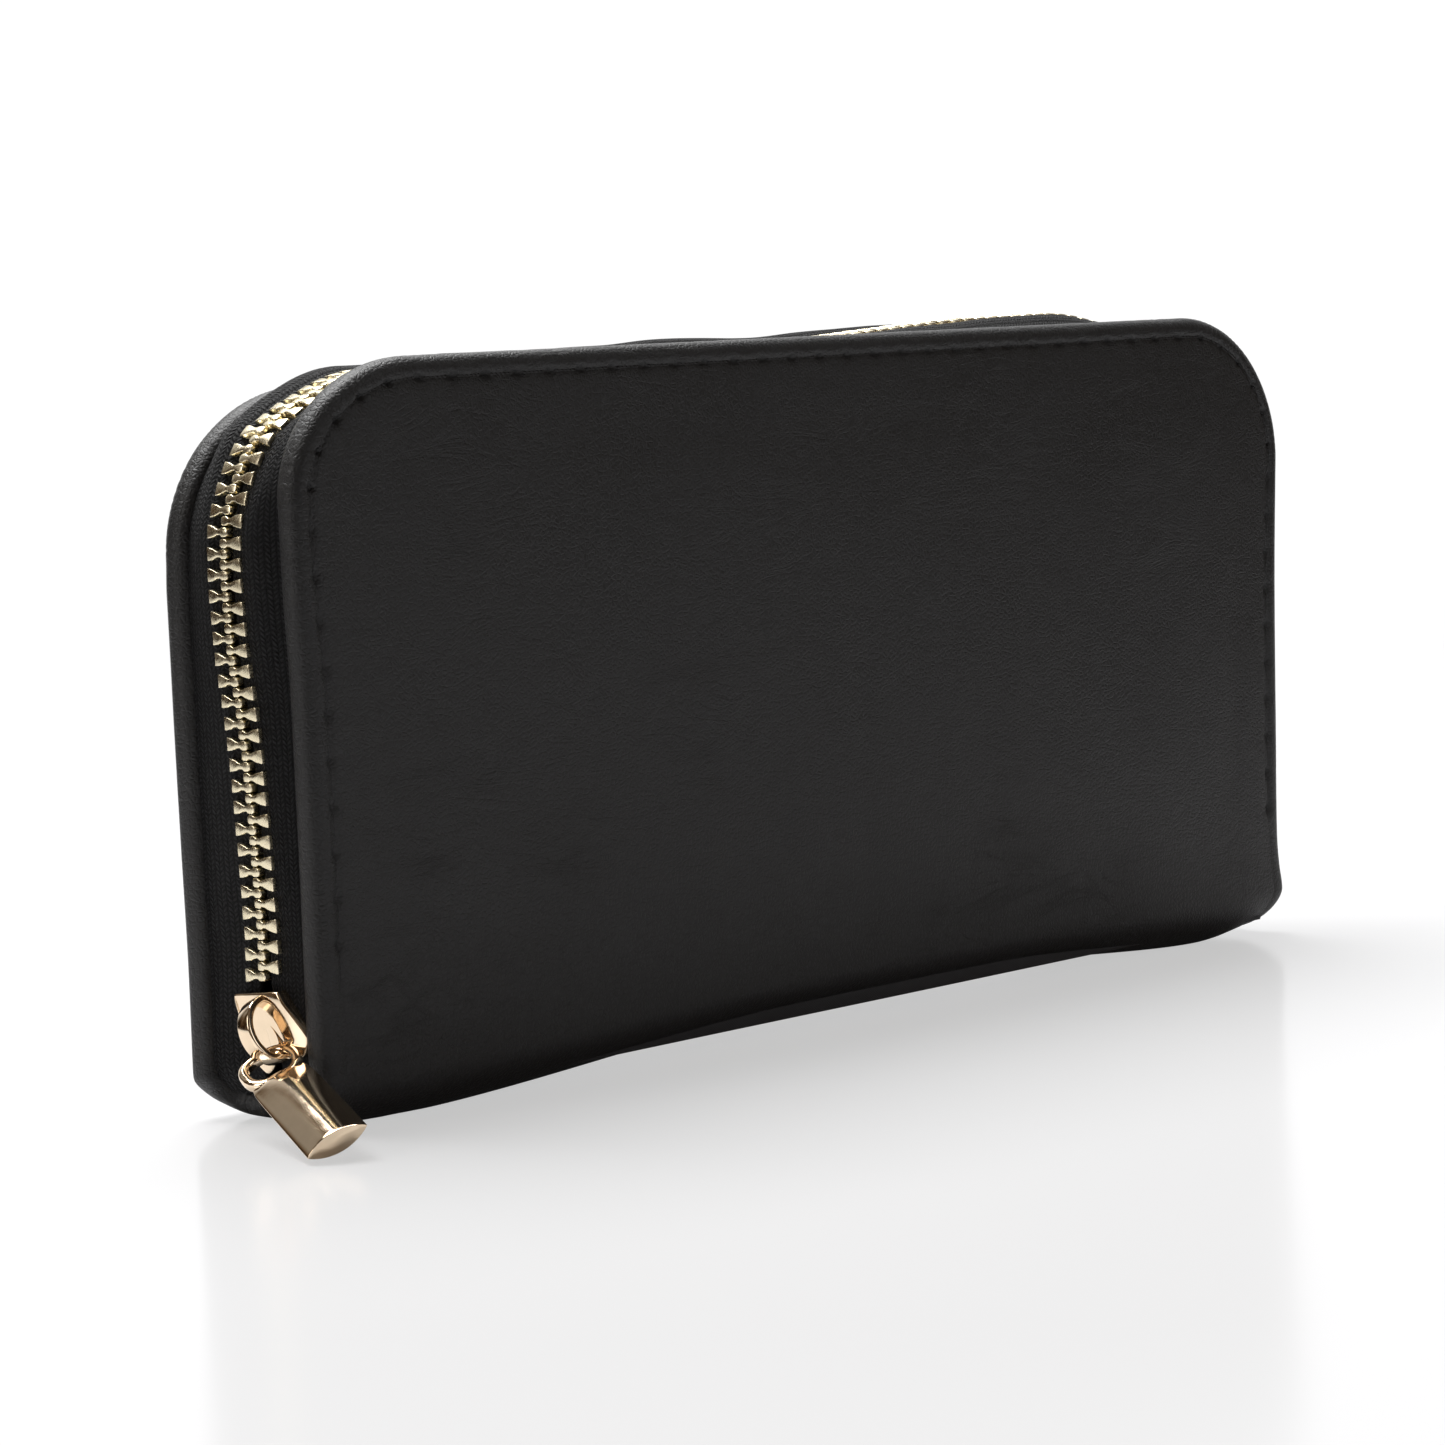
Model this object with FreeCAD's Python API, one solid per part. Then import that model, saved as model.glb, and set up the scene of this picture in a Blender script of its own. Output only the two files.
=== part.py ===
import FreeCAD, Part
import math
import os
from FreeCAD import Vector as V

# Zip-around wallet with card tiers and a centre coin pocket, in millimetres.
# +X runs along the length, the front cover is at -Y and +Z is up.
# The origin is the middle of the flat underside of the spine.

# ---- covers ----
LENGTH = 190.4          # widest, where the top corners begin
BASE_LENGTH = 186.0     # the sides draw in towards the spine
HEIGHT = 92.0
THICK = 24.2            # over the two cover leathers
CORNER_R = 21.0         # top corners
FOOT_R = 5.0            # bottom corners of each cover
SPINE_R = 6.0           # leather turn between cover and spine
LEATHER = 1.0
ROLL_T = 4.2            # rolled edge, through the thickness
ROLL_W = 3.0            # rolled edge, across
TURN_T = 3.0            # rolled edge where it follows the spine turn

HALF = THICK / 2
CORNER_Z = HEIGHT - CORNER_R
SIDE_SLOPE = (LENGTH / 2 - BASE_LENGTH / 2) / CORNER_Z
SPINE_HALF = HALF - SPINE_R     # half width of the flat underside

# ---- layers inside each cover, outermost first ----
BOARD = 0.7
LINING = 0.4
PANEL = 0.5
TIER = 0.35
BOARD_INSET = ROLL_W + 0.1
BOARD_FOOT = 8.0
PANEL_X = 87.5          # half length of the card panel and tiers
PANEL_TOP = 82.0
POCKET_FOOT = 9.0       # bottom of card panel, last tier and coin pocket
TIER_TOPS = (75.0, 65.0, 55.0, 45.0)
TIER_DROP = 30.0        # height of every tier but the last
NOTCH_R = 16.0
NOTCH_X = 44.0
NOTCH_RISE = 13.0       # notch centre above the tier's top edge

# ---- stitching ----
STITCH_PITCH = 5.45
STITCH_LEN = 3.9
STITCH_W = 0.5
STITCH_T = 0.25
STITCH_IN = 2.7         # stitch line in from the top edge
STITCH_SIDE_IN = STITCH_IN + 0.6
STITCH_FOOT = 16.0

# ---- main zip ----
PATH_IN = 0.3           # middle of the tape in from the cover outline
TAPE_T = 0.6
TAPE_FLANGE = 4.0
TAPE_GAP = 1.0          # tape edge from the chain's middle line
TAPE_LOW = 6.5
TOOTH_PITCH = 2.54
TOOTH_BASE = 2.95       # tooth root from the chain centre
TOOTH_T = 2.2
TOOTH_START = 18.4      # first tooth, along the path
TOOTH_END_GAP = 10.0
TOOTH_FIT = 0.02        # clearance between a tooth and its tape
# The chain leans to the front low on the left side and to the back above it.
LEAN_START, LEAN_END = 17.0, 66.0
LOW_Y, HIGH_Y = -0.9, 1.2

# ---- slider and puller ----
SLIDER_L = 9.6
SLIDER_AT = 16.9        # upper end of the slider, along the path
SLIDER_TUCK = math.radians(8.0)
SLIDER_SKEW = math.radians(22.0)
PLATE_IN, PLATE_OUT = 1.5, 2.3      # faces of the slider plates
RIM_IN = 0.45
BRIDGE_A, BRIDGE_B = 4.3, 5.0       # bridge radii, along and outwards
BRIDGE_T = 0.9
BRIDGE_W = 2.6
PULLER_L = 19.0
PULLER_ANGLE = math.radians(27.0)   # where the eye hangs on the bridge

# ---- coin pocket ----
COIN_SCALE = 0.55       # coin slider against the main one
POCKET_X = 84.0         # half length
POCKET_TOP = 77.0
POCKET_Y = 3.05         # inner face of each leaf
POCKET_T = 0.45
POCKET_FOLD = 0.5       # bottom and end walls
COIN_TAPE_HALF = 0.25   # half thickness of the tape
COIN_TAPE_Y = 0.75      # inner edge of the tape
COIN_PITCH = 2.0
COIN_TOOTH_START = 12.0
COIN_TOOTH_ENDS = 18.0  # length without teeth, both ends together
COIN_SLIDER_IN = 8.0
COIN_PULLER_L = 10.0

SIDES = ((1, "back"), (-1, "front"))
REACH = 100.0           # clear of every piece along X
X_AXIS, Y_AXIS, Z_AXIS = V(1, 0, 0), V(0, 1, 0), V(0, 0, 1)
COS45 = math.sqrt(0.5)


# ---- helpers ----
def export(name, *shapes):
    solids = [solid for shape in shapes for solid in shape.Solids]
    piece = solids[0] if len(solids) == 1 else Part.makeCompound(solids)
    piece.exportStep("parts/" + name + ".step")


def box(x0, x1, y0, y1, z0, z1):
    return Part.makeBox(x1 - x0, y1 - y0, z1 - z0, V(x0, y0, z0))


def layer(z0, z1):
    """Block over the whole plan between two heights."""
    return box(-REACH, REACH, -20, 20, z0, z1)


def y_range(side, near, far):
    """Depths measured from the mid plane, as rising y on the given side."""
    return (near, far) if side > 0 else (-far, -near)


def side_box(side, x0, x1, near, far, z0, z1):
    return box(x0, x1, *y_range(side, near, far), z0, z1)


def polygon_face(points):
    return Part.Face(Part.makePolygon(points + [points[0]]))


def frame(origin, ax, ay, az):
    return FreeCAD.Matrix(
        ax.x, ay.x, az.x, origin.x,
        ax.y, ay.y, az.y, origin.y,
        ax.z, ay.z, az.z, origin.z,
        0, 0, 0, 1,
    )


def placed(shape, matrix):
    copy = shape.copy()
    copy.Placement = FreeCAD.Placement(matrix)
    return copy


def outline_slab(inset, y0, y1, foot_z=0.0, foot_r=0.0):
    """Cover outline set in by inset, from y0 to y1, with its bottom at foot_z."""
    top_z = HEIGHT - inset
    wide = BASE_LENGTH / 2 + SIDE_SLOPE * CORNER_Z - inset
    foot = BASE_LENGTH / 2 + SIDE_SLOPE * foot_z - inset
    r = CORNER_R - inset
    flat = wide - r
    mid_x, mid_z = flat + r * COS45, CORNER_Z + r * COS45

    def at(x, z):
        return V(x, y0, z)

    edges = [
        Part.makeLine(at(-foot, foot_z), at(-wide, CORNER_Z)),
        Part.Arc(at(-wide, CORNER_Z), at(-mid_x, mid_z), at(-flat, top_z)).toShape(),
        Part.makeLine(at(-flat, top_z), at(flat, top_z)),
        Part.Arc(at(flat, top_z), at(mid_x, mid_z), at(wide, CORNER_Z)).toShape(),
        Part.makeLine(at(wide, CORNER_Z), at(foot, foot_z)),
        Part.makeLine(at(foot, foot_z), at(-foot, foot_z)),
    ]
    slab = Part.Face(Part.Wire(edges)).extrude(V(0, y1 - y0, 0))
    if foot_r > 0:
        corners = [
            edge
            for edge in slab.Edges
            if abs(edge.BoundBox.YLength - (y1 - y0)) < 1e-6
            and edge.BoundBox.XLength < 1e-6
            and abs(edge.BoundBox.ZMax - foot_z) < 1e-6
        ]
        slab = slab.makeFillet(foot_r, corners)
    return slab


class EdgePath:
    """Line up the left side, over the top and down the right side."""

    def __init__(self, top_inset, side_inset, foot_z):
        self.foot_x = BASE_LENGTH / 2 - side_inset
        self.foot_z = foot_z
        self.wide_x = LENGTH / 2 - side_inset
        self.radius = CORNER_R - top_inset
        self.flat_x = self.wide_x - self.radius
        self.rise = CORNER_Z - foot_z
        self.leg = math.hypot(self.wide_x - self.foot_x, self.rise)
        self.arc = math.pi / 2 * self.radius
        self.total = 2 * (self.leg + self.arc + self.flat_x)

    def at(self, s):
        """Point and unit tangent at length s from the lower left, in y = 0."""
        if s > self.total / 2:
            point, tangent = self.at(self.total - s)
            return V(-point.x, 0, point.z), V(tangent.x, 0, -tangent.z)
        if s < self.leg:
            spread = self.wide_x - self.foot_x
            f = s / self.leg
            point = V(-(self.foot_x + spread * f), 0, self.foot_z + self.rise * f)
            return point, V(-spread / self.leg, 0, self.rise / self.leg)
        s -= self.leg
        if s < self.arc:
            sin, cos = math.sin(s / self.radius), math.cos(s / self.radius)
            point = V(-self.flat_x - self.radius * cos, 0, CORNER_Z + self.radius * sin)
            return point, V(sin, 0, cos)
        s -= self.arc
        return V(-self.flat_x + s, 0, CORNER_Z + self.radius), V(1, 0, 0)


ZIP_PATH = EdgePath(PATH_IN, PATH_IN, 0.0)
STITCH_PATH = EdgePath(STITCH_IN, STITCH_SIDE_IN, STITCH_FOOT)


# ---- covers ----
def cover_section(side, thick):
    """Cover and spine turn in section, thick deep, extruded along X."""
    inner_r = SPINE_R - thick
    inner_y = HALF - thick
    top = HEIGHT + 1

    def at(y, z):
        return V(-REACH, side * y, z)

    def turn_middle(r):
        return at(SPINE_HALF + r * COS45, SPINE_R - r * COS45)

    edges = [
        Part.makeLine(at(HALF, top), at(HALF, SPINE_R)),
        Part.Arc(at(HALF, SPINE_R), turn_middle(SPINE_R), at(SPINE_HALF, 0)).toShape(),
        Part.makeLine(at(SPINE_HALF, 0), at(SPINE_HALF, thick)),
        Part.Arc(
            at(SPINE_HALF, thick), turn_middle(inner_r), at(inner_y, SPINE_R)
        ).toShape(),
        Part.makeLine(at(inner_y, SPINE_R), at(inner_y, top)),
        Part.makeLine(at(inner_y, top), at(HALF, top)),
    ]
    wire = Part.Wire(Part.__sortEdges__(edges))
    return Part.Face(wire).extrude(V(2 * REACH, 0, 0))


def cover_leather(side):
    """Leather skin with a thicker rolled edge round its outline."""
    y0, y1 = y_range(side, 0.5, HALF + 1)
    skin = cover_section(side, LEATHER).common(outline_slab(0.0, y0, y1, 0.0, FOOT_R))
    ring = outline_slab(0.0, y0, y1, 0.0, FOOT_R).cut(
        outline_slab(ROLL_W, y0 - 1, y1 + 1, -3.0)
    )
    upper = ring.common(
        side_box(side, -REACH, REACH, HALF - ROLL_T, HALF, SPINE_R, HEIGHT + 1)
    )
    lower = ring.common(cover_section(side, TURN_T)).common(layer(-1, SPINE_R))
    return skin.fuse([upper, lower]).removeSplitter()


def card_tier(side, depth, top, low):
    """Card pocket; a thumb notch dips the top edge of each half."""
    y0, y1 = y_range(side, depth - TIER, depth)
    tier = box(-PANEL_X, PANEL_X, y0, y1, low, top)
    for x in (-NOTCH_X, NOTCH_X):
        centre = V(x, y0 - 1, top + NOTCH_RISE)
        tier = tier.cut(Part.makeCylinder(NOTCH_R, 4, centre, Y_AXIS))
    return tier


def gusset(side, end):
    """Bellows gusset: a V of thin lining folded inwards at one end."""
    mouth, fold, inner_fold = 89.0, 77.0, 78.8      # from the middle, along X
    middle, spread, thick = 5.8, 2.0, 0.4           # from the mid plane
    outer, inner = middle + spread, middle - spread
    profile = [
        (mouth, outer), (fold, middle + thick / 2), (fold, middle - thick / 2),
        (mouth, inner), (mouth, inner + thick), (inner_fold, middle),
        (mouth, outer - thick),
    ]
    face = polygon_face([V(end * x, side * y, 10.0) for x, y in profile])
    return face.extrude(V(0, 0, 66.0))


def build_cover(side, name):
    export(name + "_cover_leather", cover_leather(side))
    depth = HALF - LEATHER
    for piece, thick in (("_cover_board", BOARD), ("_lining", LINING)):
        y0, y1 = y_range(side, depth - thick, depth)
        export(name + piece, outline_slab(BOARD_INSET, y0, y1, BOARD_FOOT))
        depth -= thick
    panel = side_box(
        side, -PANEL_X, PANEL_X, depth - PANEL, depth, POCKET_FOOT, PANEL_TOP
    )
    export(name + "_card_panel", panel)
    depth -= PANEL
    for i, top in enumerate(TIER_TOPS, 1):
        low = POCKET_FOOT if i == len(TIER_TOPS) else top - TIER_DROP
        export(name + "_card_tier_" + str(i), card_tier(side, depth, top, low))
        depth -= TIER
    for end, end_name in ((-1, "left"), (1, "right")):
        export(name + "_" + end_name + "_gusset", gusset(side, end))


def build_spine():
    leather_top, lining_top = 1.1, 1.5
    leather = box(-91.0, 91.0, -SPINE_HALF + 0.1, SPINE_HALF, 0.0, leather_top)
    export("spine_leather", leather)
    export("spine_lining", box(-89.0, 89.0, -4.5, 4.5, leather_top, lining_top))


def build_stitching(side, name):
    thread = Part.makeBox(
        STITCH_LEN, STITCH_W, STITCH_T, V(-STITCH_LEN / 2, -STITCH_W / 2, 0)
    )
    outward = V(0, side, 0)
    count = int(STITCH_PATH.total / STITCH_PITCH)
    row = []
    for i in range(count):
        point, tangent = STITCH_PATH.at((i + 0.5) * STITCH_PATH.total / count)
        point.y = side * HALF
        across = outward.cross(tangent)
        row.append(placed(thread, frame(point, tangent, across, outward)))
    export(name + "_stitching", *row)


# ---- main zip ----
def chain_y(s):
    """Where the chain's middle lies across the thickness, at path length s."""
    if s < LEAN_START:
        return LOW_Y
    if s < LEAN_END:
        return LOW_Y + (HIGH_Y - LOW_Y) * (s - LEAN_START) / (LEAN_END - LEAN_START)
    top_start = ZIP_PATH.leg + ZIP_PATH.arc
    if s < top_start:
        return HIGH_Y
    if s < ZIP_PATH.total / 2:
        return HIGH_Y * (1 - (s - top_start) / ZIP_PATH.flat_x)
    return 0.0


def tape_zone(side):
    """Space on one side of the chain's middle line, less the tape gap."""
    gap = side * TAPE_GAP
    far = side * 30.0
    end = 110
    left_x = -ZIP_PATH.flat_x
    # z, y of the chain's middle up the left side
    line = [(0.0, LOW_Y), (LEAN_START, LOW_Y), (LEAN_END, HIGH_Y), (100.0, HIGH_Y)]
    points = [V(-end, y + gap, z) for z, y in line]
    points += [V(-end, far, 100), V(-end, far, 0)]
    left = polygon_face(points).extrude(V(end + left_x, 0, 0))
    points = [
        V(left_x, HIGH_Y + gap, -5), V(0, gap, -5), V(end, gap, -5),
        V(end, far, -5), V(left_x, far, -5),
    ]
    right = polygon_face(points).extrude(V(0, 0, 110))
    return left.fuse(right)


def tape_ring(side, width, near, far):
    """Ring of the given width inside the tape's outer face."""
    inset = PATH_IN - TAPE_T / 2
    y0, y1 = y_range(side, near, far)
    return outline_slab(inset, y0, y1).cut(
        outline_slab(inset + width, y0 - 1, y1 + 1, -2)
    )


def build_zip_tape(side, name, slider_frame):
    """Band round the edge with a flange under the roll, cut away at the slider."""
    foot = layer(-5, TAPE_LOW)
    edge = HALF - ROLL_T
    band = tape_ring(side, TAPE_T, -3.0, edge).common(tape_zone(side)).cut(foot)
    flange = tape_ring(side, TAPE_FLANGE, edge - TAPE_T, edge).cut(foot)
    slider_space = Part.makeBox(SLIDER_L + 2.6, 13.0, 7.0, V(-SLIDER_L / 2 - 1.0, -6.5, -3.2))
    slider_space = placed(slider_space, slider_frame)
    tape = band.fuse(flange).cut(slider_space).removeSplitter()
    # only the largest piece stays; the slider space may part off scraps
    export(name + "_zip_tape", max(tape.Solids, key=lambda solid: solid.Volume))


def zip_tooth(side):
    """One tooth: x along the chain, y across it, z outwards."""
    # half width along the chain, distance from the chain's middle
    profile = [
        (0.64, TOOTH_BASE), (0.52, 2.0), (0.34, 1.25), (0.34, 0.55),
        (0.5, 0.3), (0.5, -0.3), (0.3, -0.6),
    ]
    points = [V(x, side * y, -TOOTH_T / 2) for x, y in profile]
    points += [V(-x, side * y, -TOOTH_T / 2) for x, y in reversed(profile)]
    tooth = polygon_face(points).extrude(V(0, 0, TOOTH_T))
    slot = TAPE_T / 2 + TOOTH_FIT
    return tooth.cut(side_box(side, -2, 2, 0.95, 4.0, -slot, slot))


def build_zip_teeth(side, name):
    tooth = zip_tooth(side)
    count = int((ZIP_PATH.total - TOOTH_START - TOOTH_END_GAP) / TOOTH_PITCH)
    stagger = 0.0 if side > 0 else TOOTH_PITCH / 2
    row = []
    for i in range(count):
        s = TOOTH_START + i * TOOTH_PITCH + stagger
        point, tangent = ZIP_PATH.at(s)
        point.y = chain_y(s)
        outward = tangent.cross(Y_AXIS)
        row.append(placed(tooth, frame(point, tangent, Y_AXIS, outward)))
    export(name + "_zip_teeth", *row)


# ---- sliders: x along the slider, y across it, z outwards ----
def slider_body(scale):
    """Two plates joined by a wedge post, with their edges turned in."""
    end = SLIDER_L / 2

    def plan(half, notch=()):
        points = list(half) + list(notch) + [(x, -y) for x, y in reversed(half)]
        return polygon_face([V(x * scale, y * scale, 0) for x, y in points])

    def slab(face, z0, z1):
        base = face.copy()
        base.translate(V(0, 0, z0 * scale))
        return base.extrude(V(0, 0, (z1 - z0) * scale))

    # x, y of half outlines; the notch is in the tail
    notch = [(-4.0, 1.2), (-3.6, 0.0), (-4.0, -1.2)]
    wide = plan([(end, 3.9), (1.6, 4.4), (-1.8, 5.2), (-3.4, 5.2), (-end, 3.4)], notch)
    slim = plan([(end, 3.5), (1.6, 3.8), (-1.8, 4.1), (-3.4, 4.1), (-end, 3.2)], notch)
    bore = plan([(5.2, 2.9), (1.6, 3.2), (-1.8, 3.5), (-5.2, 3.5)])
    wedge = plan([(-3.9, 0.4), (-2.6, 1.5), (-0.4, 0.0)])
    outer_plate = slab(wide, PLATE_IN, PLATE_OUT)
    inner_plate = slab(slim, -PLATE_OUT, -PLATE_IN)
    tail = Part.makeBox(
        1.4 * scale, 20 * scale, 8 * scale, V(-5.6 * scale, -10 * scale, -4 * scale)
    )
    outer_rim = slab(slim, RIM_IN, PLATE_IN).cut(slab(bore, 0, 2)).cut(tail)
    inner_rim = slab(slim, -PLATE_IN, -RIM_IN).cut(slab(bore, -2, 0)).cut(tail)
    post = slab(wedge, -1.6, 1.6)
    return outer_plate.fuse([inner_plate, outer_rim, inner_rim, post]).removeSplitter()


def slider_bridge(scale):
    """Half elliptical loop standing on the outer plate."""
    a, b, thick = BRIDGE_A * scale, BRIDGE_B * scale, BRIDGE_T * scale
    width = BRIDGE_W * scale
    base = PLATE_OUT * scale

    def disc(rx, rz):
        centre = V(0, -width / 2, base)
        ellipse = Part.Ellipse(centre + V(0, 0, rz), centre + V(rx, 0, 0), centre)
        return Part.Face(Part.Wire(ellipse.toShape())).extrude(V(0, width, 0))

    ring = disc(a, b).cut(disc(a - thick, b - thick))
    return ring.common(Part.makeBox(40, 40, 40, V(-20, -20, base)))


# ---- pullers: x towards the tip, y across, z through the thickness ----
def lens(x, half_w, half_t):
    """Closed lens section in the plane at x."""
    left, right = V(x, -half_w, 0), V(x, half_w, 0)
    upper = Part.Arc(left, V(x, 0, half_t), right).toShape()
    lower = Part.Arc(right, V(x, 0, -half_t), left).toShape()
    return Part.Wire([upper, lower])


def rounded_block(x0, x1, half_w, half_t, radius):
    """Block with its four z edges rounded."""
    block = box(x0, x1, -half_w, half_w, -half_t, half_t)
    uprights = [
        edge for edge in block.Edges if abs(edge.BoundBox.ZLength - 2 * half_t) < 1e-6
    ]
    return block.makeFillet(radius, uprights)


def main_puller():
    """Flared tongue on a rounded eye; the eye's middle is the origin."""
    eye = rounded_block(-3.6, 3.6 + 0.6, 3.5, 0.75, 1.6)
    eye = eye.cut(rounded_block(-2.2, 2.2, 2.0, 4, 0.9))
    sections = [
        lens(2.9, 2.75, 0.85),
        lens(0.45 * PULLER_L, 3.5, 1.05),
        lens(PULLER_L, 4.6, 1.1),
    ]
    return eye.fuse(Part.makeLoft(sections, True)).removeSplitter()


def coin_puller():
    """Flared tongue on a square eye; the pivot bar is at the origin."""
    k = COIN_SCALE
    eye = rounded_block(-0.75 * k, 6.25 * k, 2.9 * k, 0.6 * k, 0.7 * k)
    eye = eye.cut(Part.makeBox(4.15 * k, 3.4 * k, 8, V(0.75 * k, -1.7 * k, -4)))
    sections = [
        lens(5.6 * k, 1.9 * k, 0.6 * k),
        lens(COIN_PULLER_L, 2.9 * k, 0.7 * k),
    ]
    return eye.fuse(Part.makeLoft(sections, True)).removeSplitter()


def build_zip_slider():
    """Slider low on the left side with its puller; returns the slider frame."""
    along = V(
        -math.sin(SLIDER_TUCK),
        math.sin(SLIDER_SKEW) * math.cos(SLIDER_TUCK),
        math.cos(SLIDER_SKEW) * math.cos(SLIDER_TUCK),
    )
    outward = V(-1, 0, 0)
    outward = outward - along * outward.dot(along)
    outward.normalize()
    mouth = ZIP_PATH.at(SLIDER_AT)[0]
    mouth.y = chain_y(SLIDER_AT)
    centre = mouth - along * (SLIDER_L / 2)
    slider_frame = frame(centre, along, outward.cross(along), outward)
    export("zip_slider_body", placed(slider_body(1.0), slider_frame))
    export("zip_slider_bridge", placed(slider_bridge(1.0), slider_frame))

    # the eye is threaded on the lower half of the bridge, puller to the front
    back = (BRIDGE_A - BRIDGE_T / 2) * math.sin(PULLER_ANGLE)
    out = PLATE_OUT + (BRIDGE_B - BRIDGE_T / 2) * math.cos(PULLER_ANGLE)
    strap = centre - along * back + outward * out
    tipward = V(-0.19, -0.915, -0.36)
    tipward.normalize()
    across = V(0.844, -0.334, 0.42)
    across = across - tipward * across.dot(tipward)
    across.normalize()
    eye = strap - across * 0.2
    puller_frame = frame(eye, tipward, across, tipward.cross(across))
    export("zip_puller", placed(main_puller(), puller_frame))
    return slider_frame


# ---- centre coin pocket ----
def pocket_leaf(side):
    """The back leaf turns under to close the bottom and both ends."""
    x, y = POCKET_X, POCKET_Y
    low, top = POCKET_FOOT, POCKET_TOP - COIN_TAPE_HALF
    leaf = side_box(side, -x, x, y, y + POCKET_T, low, top)
    if side > 0:
        leaf = leaf.fuse([
            box(-x, x, -y, y, low, low + POCKET_FOLD),
            box(-x, -x + POCKET_FOLD, -y, y, low, top),
            box(x - POCKET_FOLD, x, -y, y, low, top),
        ]).removeSplitter()
    return leaf


def coin_tooth(side, x):
    z = POCKET_TOP
    slot = COIN_TAPE_HALF + TOOTH_FIT
    tooth = side_box(side, x - 0.38, x + 0.38, -0.35, 1.9, z - 0.7, z + 0.7)
    return tooth.cut(
        side_box(side, x - 1, x + 1, COIN_TAPE_Y - 0.03, 3, z - slot, z + slot)
    )


def build_coin_side(side, name):
    export("coin_pocket_" + name + "_leaf", pocket_leaf(side))
    tape = side_box(
        side, -POCKET_X, POCKET_X, COIN_TAPE_Y, POCKET_Y + POCKET_T,
        POCKET_TOP - COIN_TAPE_HALF, POCKET_TOP + COIN_TAPE_HALF,
    )
    export("coin_zip_" + name + "_tape", tape)
    count = int((2 * POCKET_X - COIN_TOOTH_ENDS) / COIN_PITCH)
    start = -POCKET_X + COIN_TOOTH_START + (0 if side > 0 else COIN_PITCH / 2)
    teeth = [coin_tooth(side, start + i * COIN_PITCH) for i in range(count)]
    export("coin_zip_" + name + "_teeth", *teeth)


def build_coin_slider():
    centre = V(-POCKET_X + COIN_SLIDER_IN, 0, POCKET_TOP)
    coin_frame = frame(centre, X_AXIS, Y_AXIS, Z_AXIS)
    body = slider_body(COIN_SCALE)
    slit = COIN_TAPE_HALF + 0.03
    for side, _ in SIDES:
        body = body.cut(side_box(side, -5, 5, 0.6, 8.6, -slit, slit))
    export("coin_slider_body", placed(body, coin_frame))
    export("coin_slider_bridge", placed(slider_bridge(COIN_SCALE), coin_frame))
    pivot = centre + V(0, 0, (PLATE_OUT + 0.85) * COIN_SCALE)
    puller_frame = frame(pivot, X_AXIS, Y_AXIS, Z_AXIS)
    export("coin_puller", placed(coin_puller(), puller_frame))


os.makedirs("parts", exist_ok=True)
build_spine()
main_slider_frame = build_zip_slider()
for side, name in SIDES:
    build_cover(side, name)
    build_stitching(side, name)
    build_zip_tape(side, name, main_slider_frame)
    build_zip_teeth(side, name)
    build_coin_side(side, name)
build_coin_slider()
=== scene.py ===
"""Zip-around wallet: soft leather covers, knitted zip tapes, metal zip and cloth insides.

It stands closed on its spine. X runs along the spine, Y across the thickness with the front
cover at -Y and the back cover at +Y, and Z up. The zip climbs the left end (-X), crosses the
top and comes down the right end. Shapes are in millimetres and become metres in make_mesh,
prism and placement.
"""
import math
from contextlib import contextmanager

import bmesh
import bpy
import numpy as np
from mathutils import Matrix, Vector


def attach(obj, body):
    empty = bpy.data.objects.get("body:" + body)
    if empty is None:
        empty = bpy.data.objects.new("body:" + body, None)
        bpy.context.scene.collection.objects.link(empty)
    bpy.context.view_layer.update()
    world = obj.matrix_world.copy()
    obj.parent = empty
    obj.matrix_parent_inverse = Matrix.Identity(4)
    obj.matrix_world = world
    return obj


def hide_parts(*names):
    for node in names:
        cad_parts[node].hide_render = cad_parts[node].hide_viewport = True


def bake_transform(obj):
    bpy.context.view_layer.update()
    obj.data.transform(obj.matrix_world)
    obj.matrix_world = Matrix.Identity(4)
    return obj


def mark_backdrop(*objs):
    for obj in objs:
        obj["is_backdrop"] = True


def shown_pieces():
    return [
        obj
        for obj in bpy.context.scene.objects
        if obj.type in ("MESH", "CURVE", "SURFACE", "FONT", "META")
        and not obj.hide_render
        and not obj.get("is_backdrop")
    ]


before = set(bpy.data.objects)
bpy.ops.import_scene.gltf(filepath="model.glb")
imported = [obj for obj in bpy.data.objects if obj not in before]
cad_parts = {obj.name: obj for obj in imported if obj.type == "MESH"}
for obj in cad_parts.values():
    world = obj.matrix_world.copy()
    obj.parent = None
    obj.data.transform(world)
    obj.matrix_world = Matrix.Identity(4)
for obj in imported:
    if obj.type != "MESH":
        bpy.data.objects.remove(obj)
scene = bpy.context.scene
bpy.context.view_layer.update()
RNG = np.random.default_rng(7)
MM = 0.001
SIDES = ((1, "back"), (-1, "front"))  # sign of Y, body

# ------------------------------------------------------------- driving sizes, mm
HEIGHT = 92.0
HALF_DEPTH = 12.1  # middle plane to the face of a cover
TURN = 6.0  # radius where a cover turns under into the spine
SPINE_HALF = HALF_DEPTH - TURN
CORNER_Z = 71.0  # height where the zip's top corners begin
BASE_HALF, TOP_HALF = 93.0, 95.2  # half lengths at the foot and at CORNER_Z


# ------------------------------------------------------------------------ curves
def smooth(start, end, x):
    """Eases from 0 at start to 1 at end."""
    share = np.clip((np.asarray(x, float) - start) / (end - start), 0, 1)
    return share * share * (3 - 2 * share)


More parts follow.
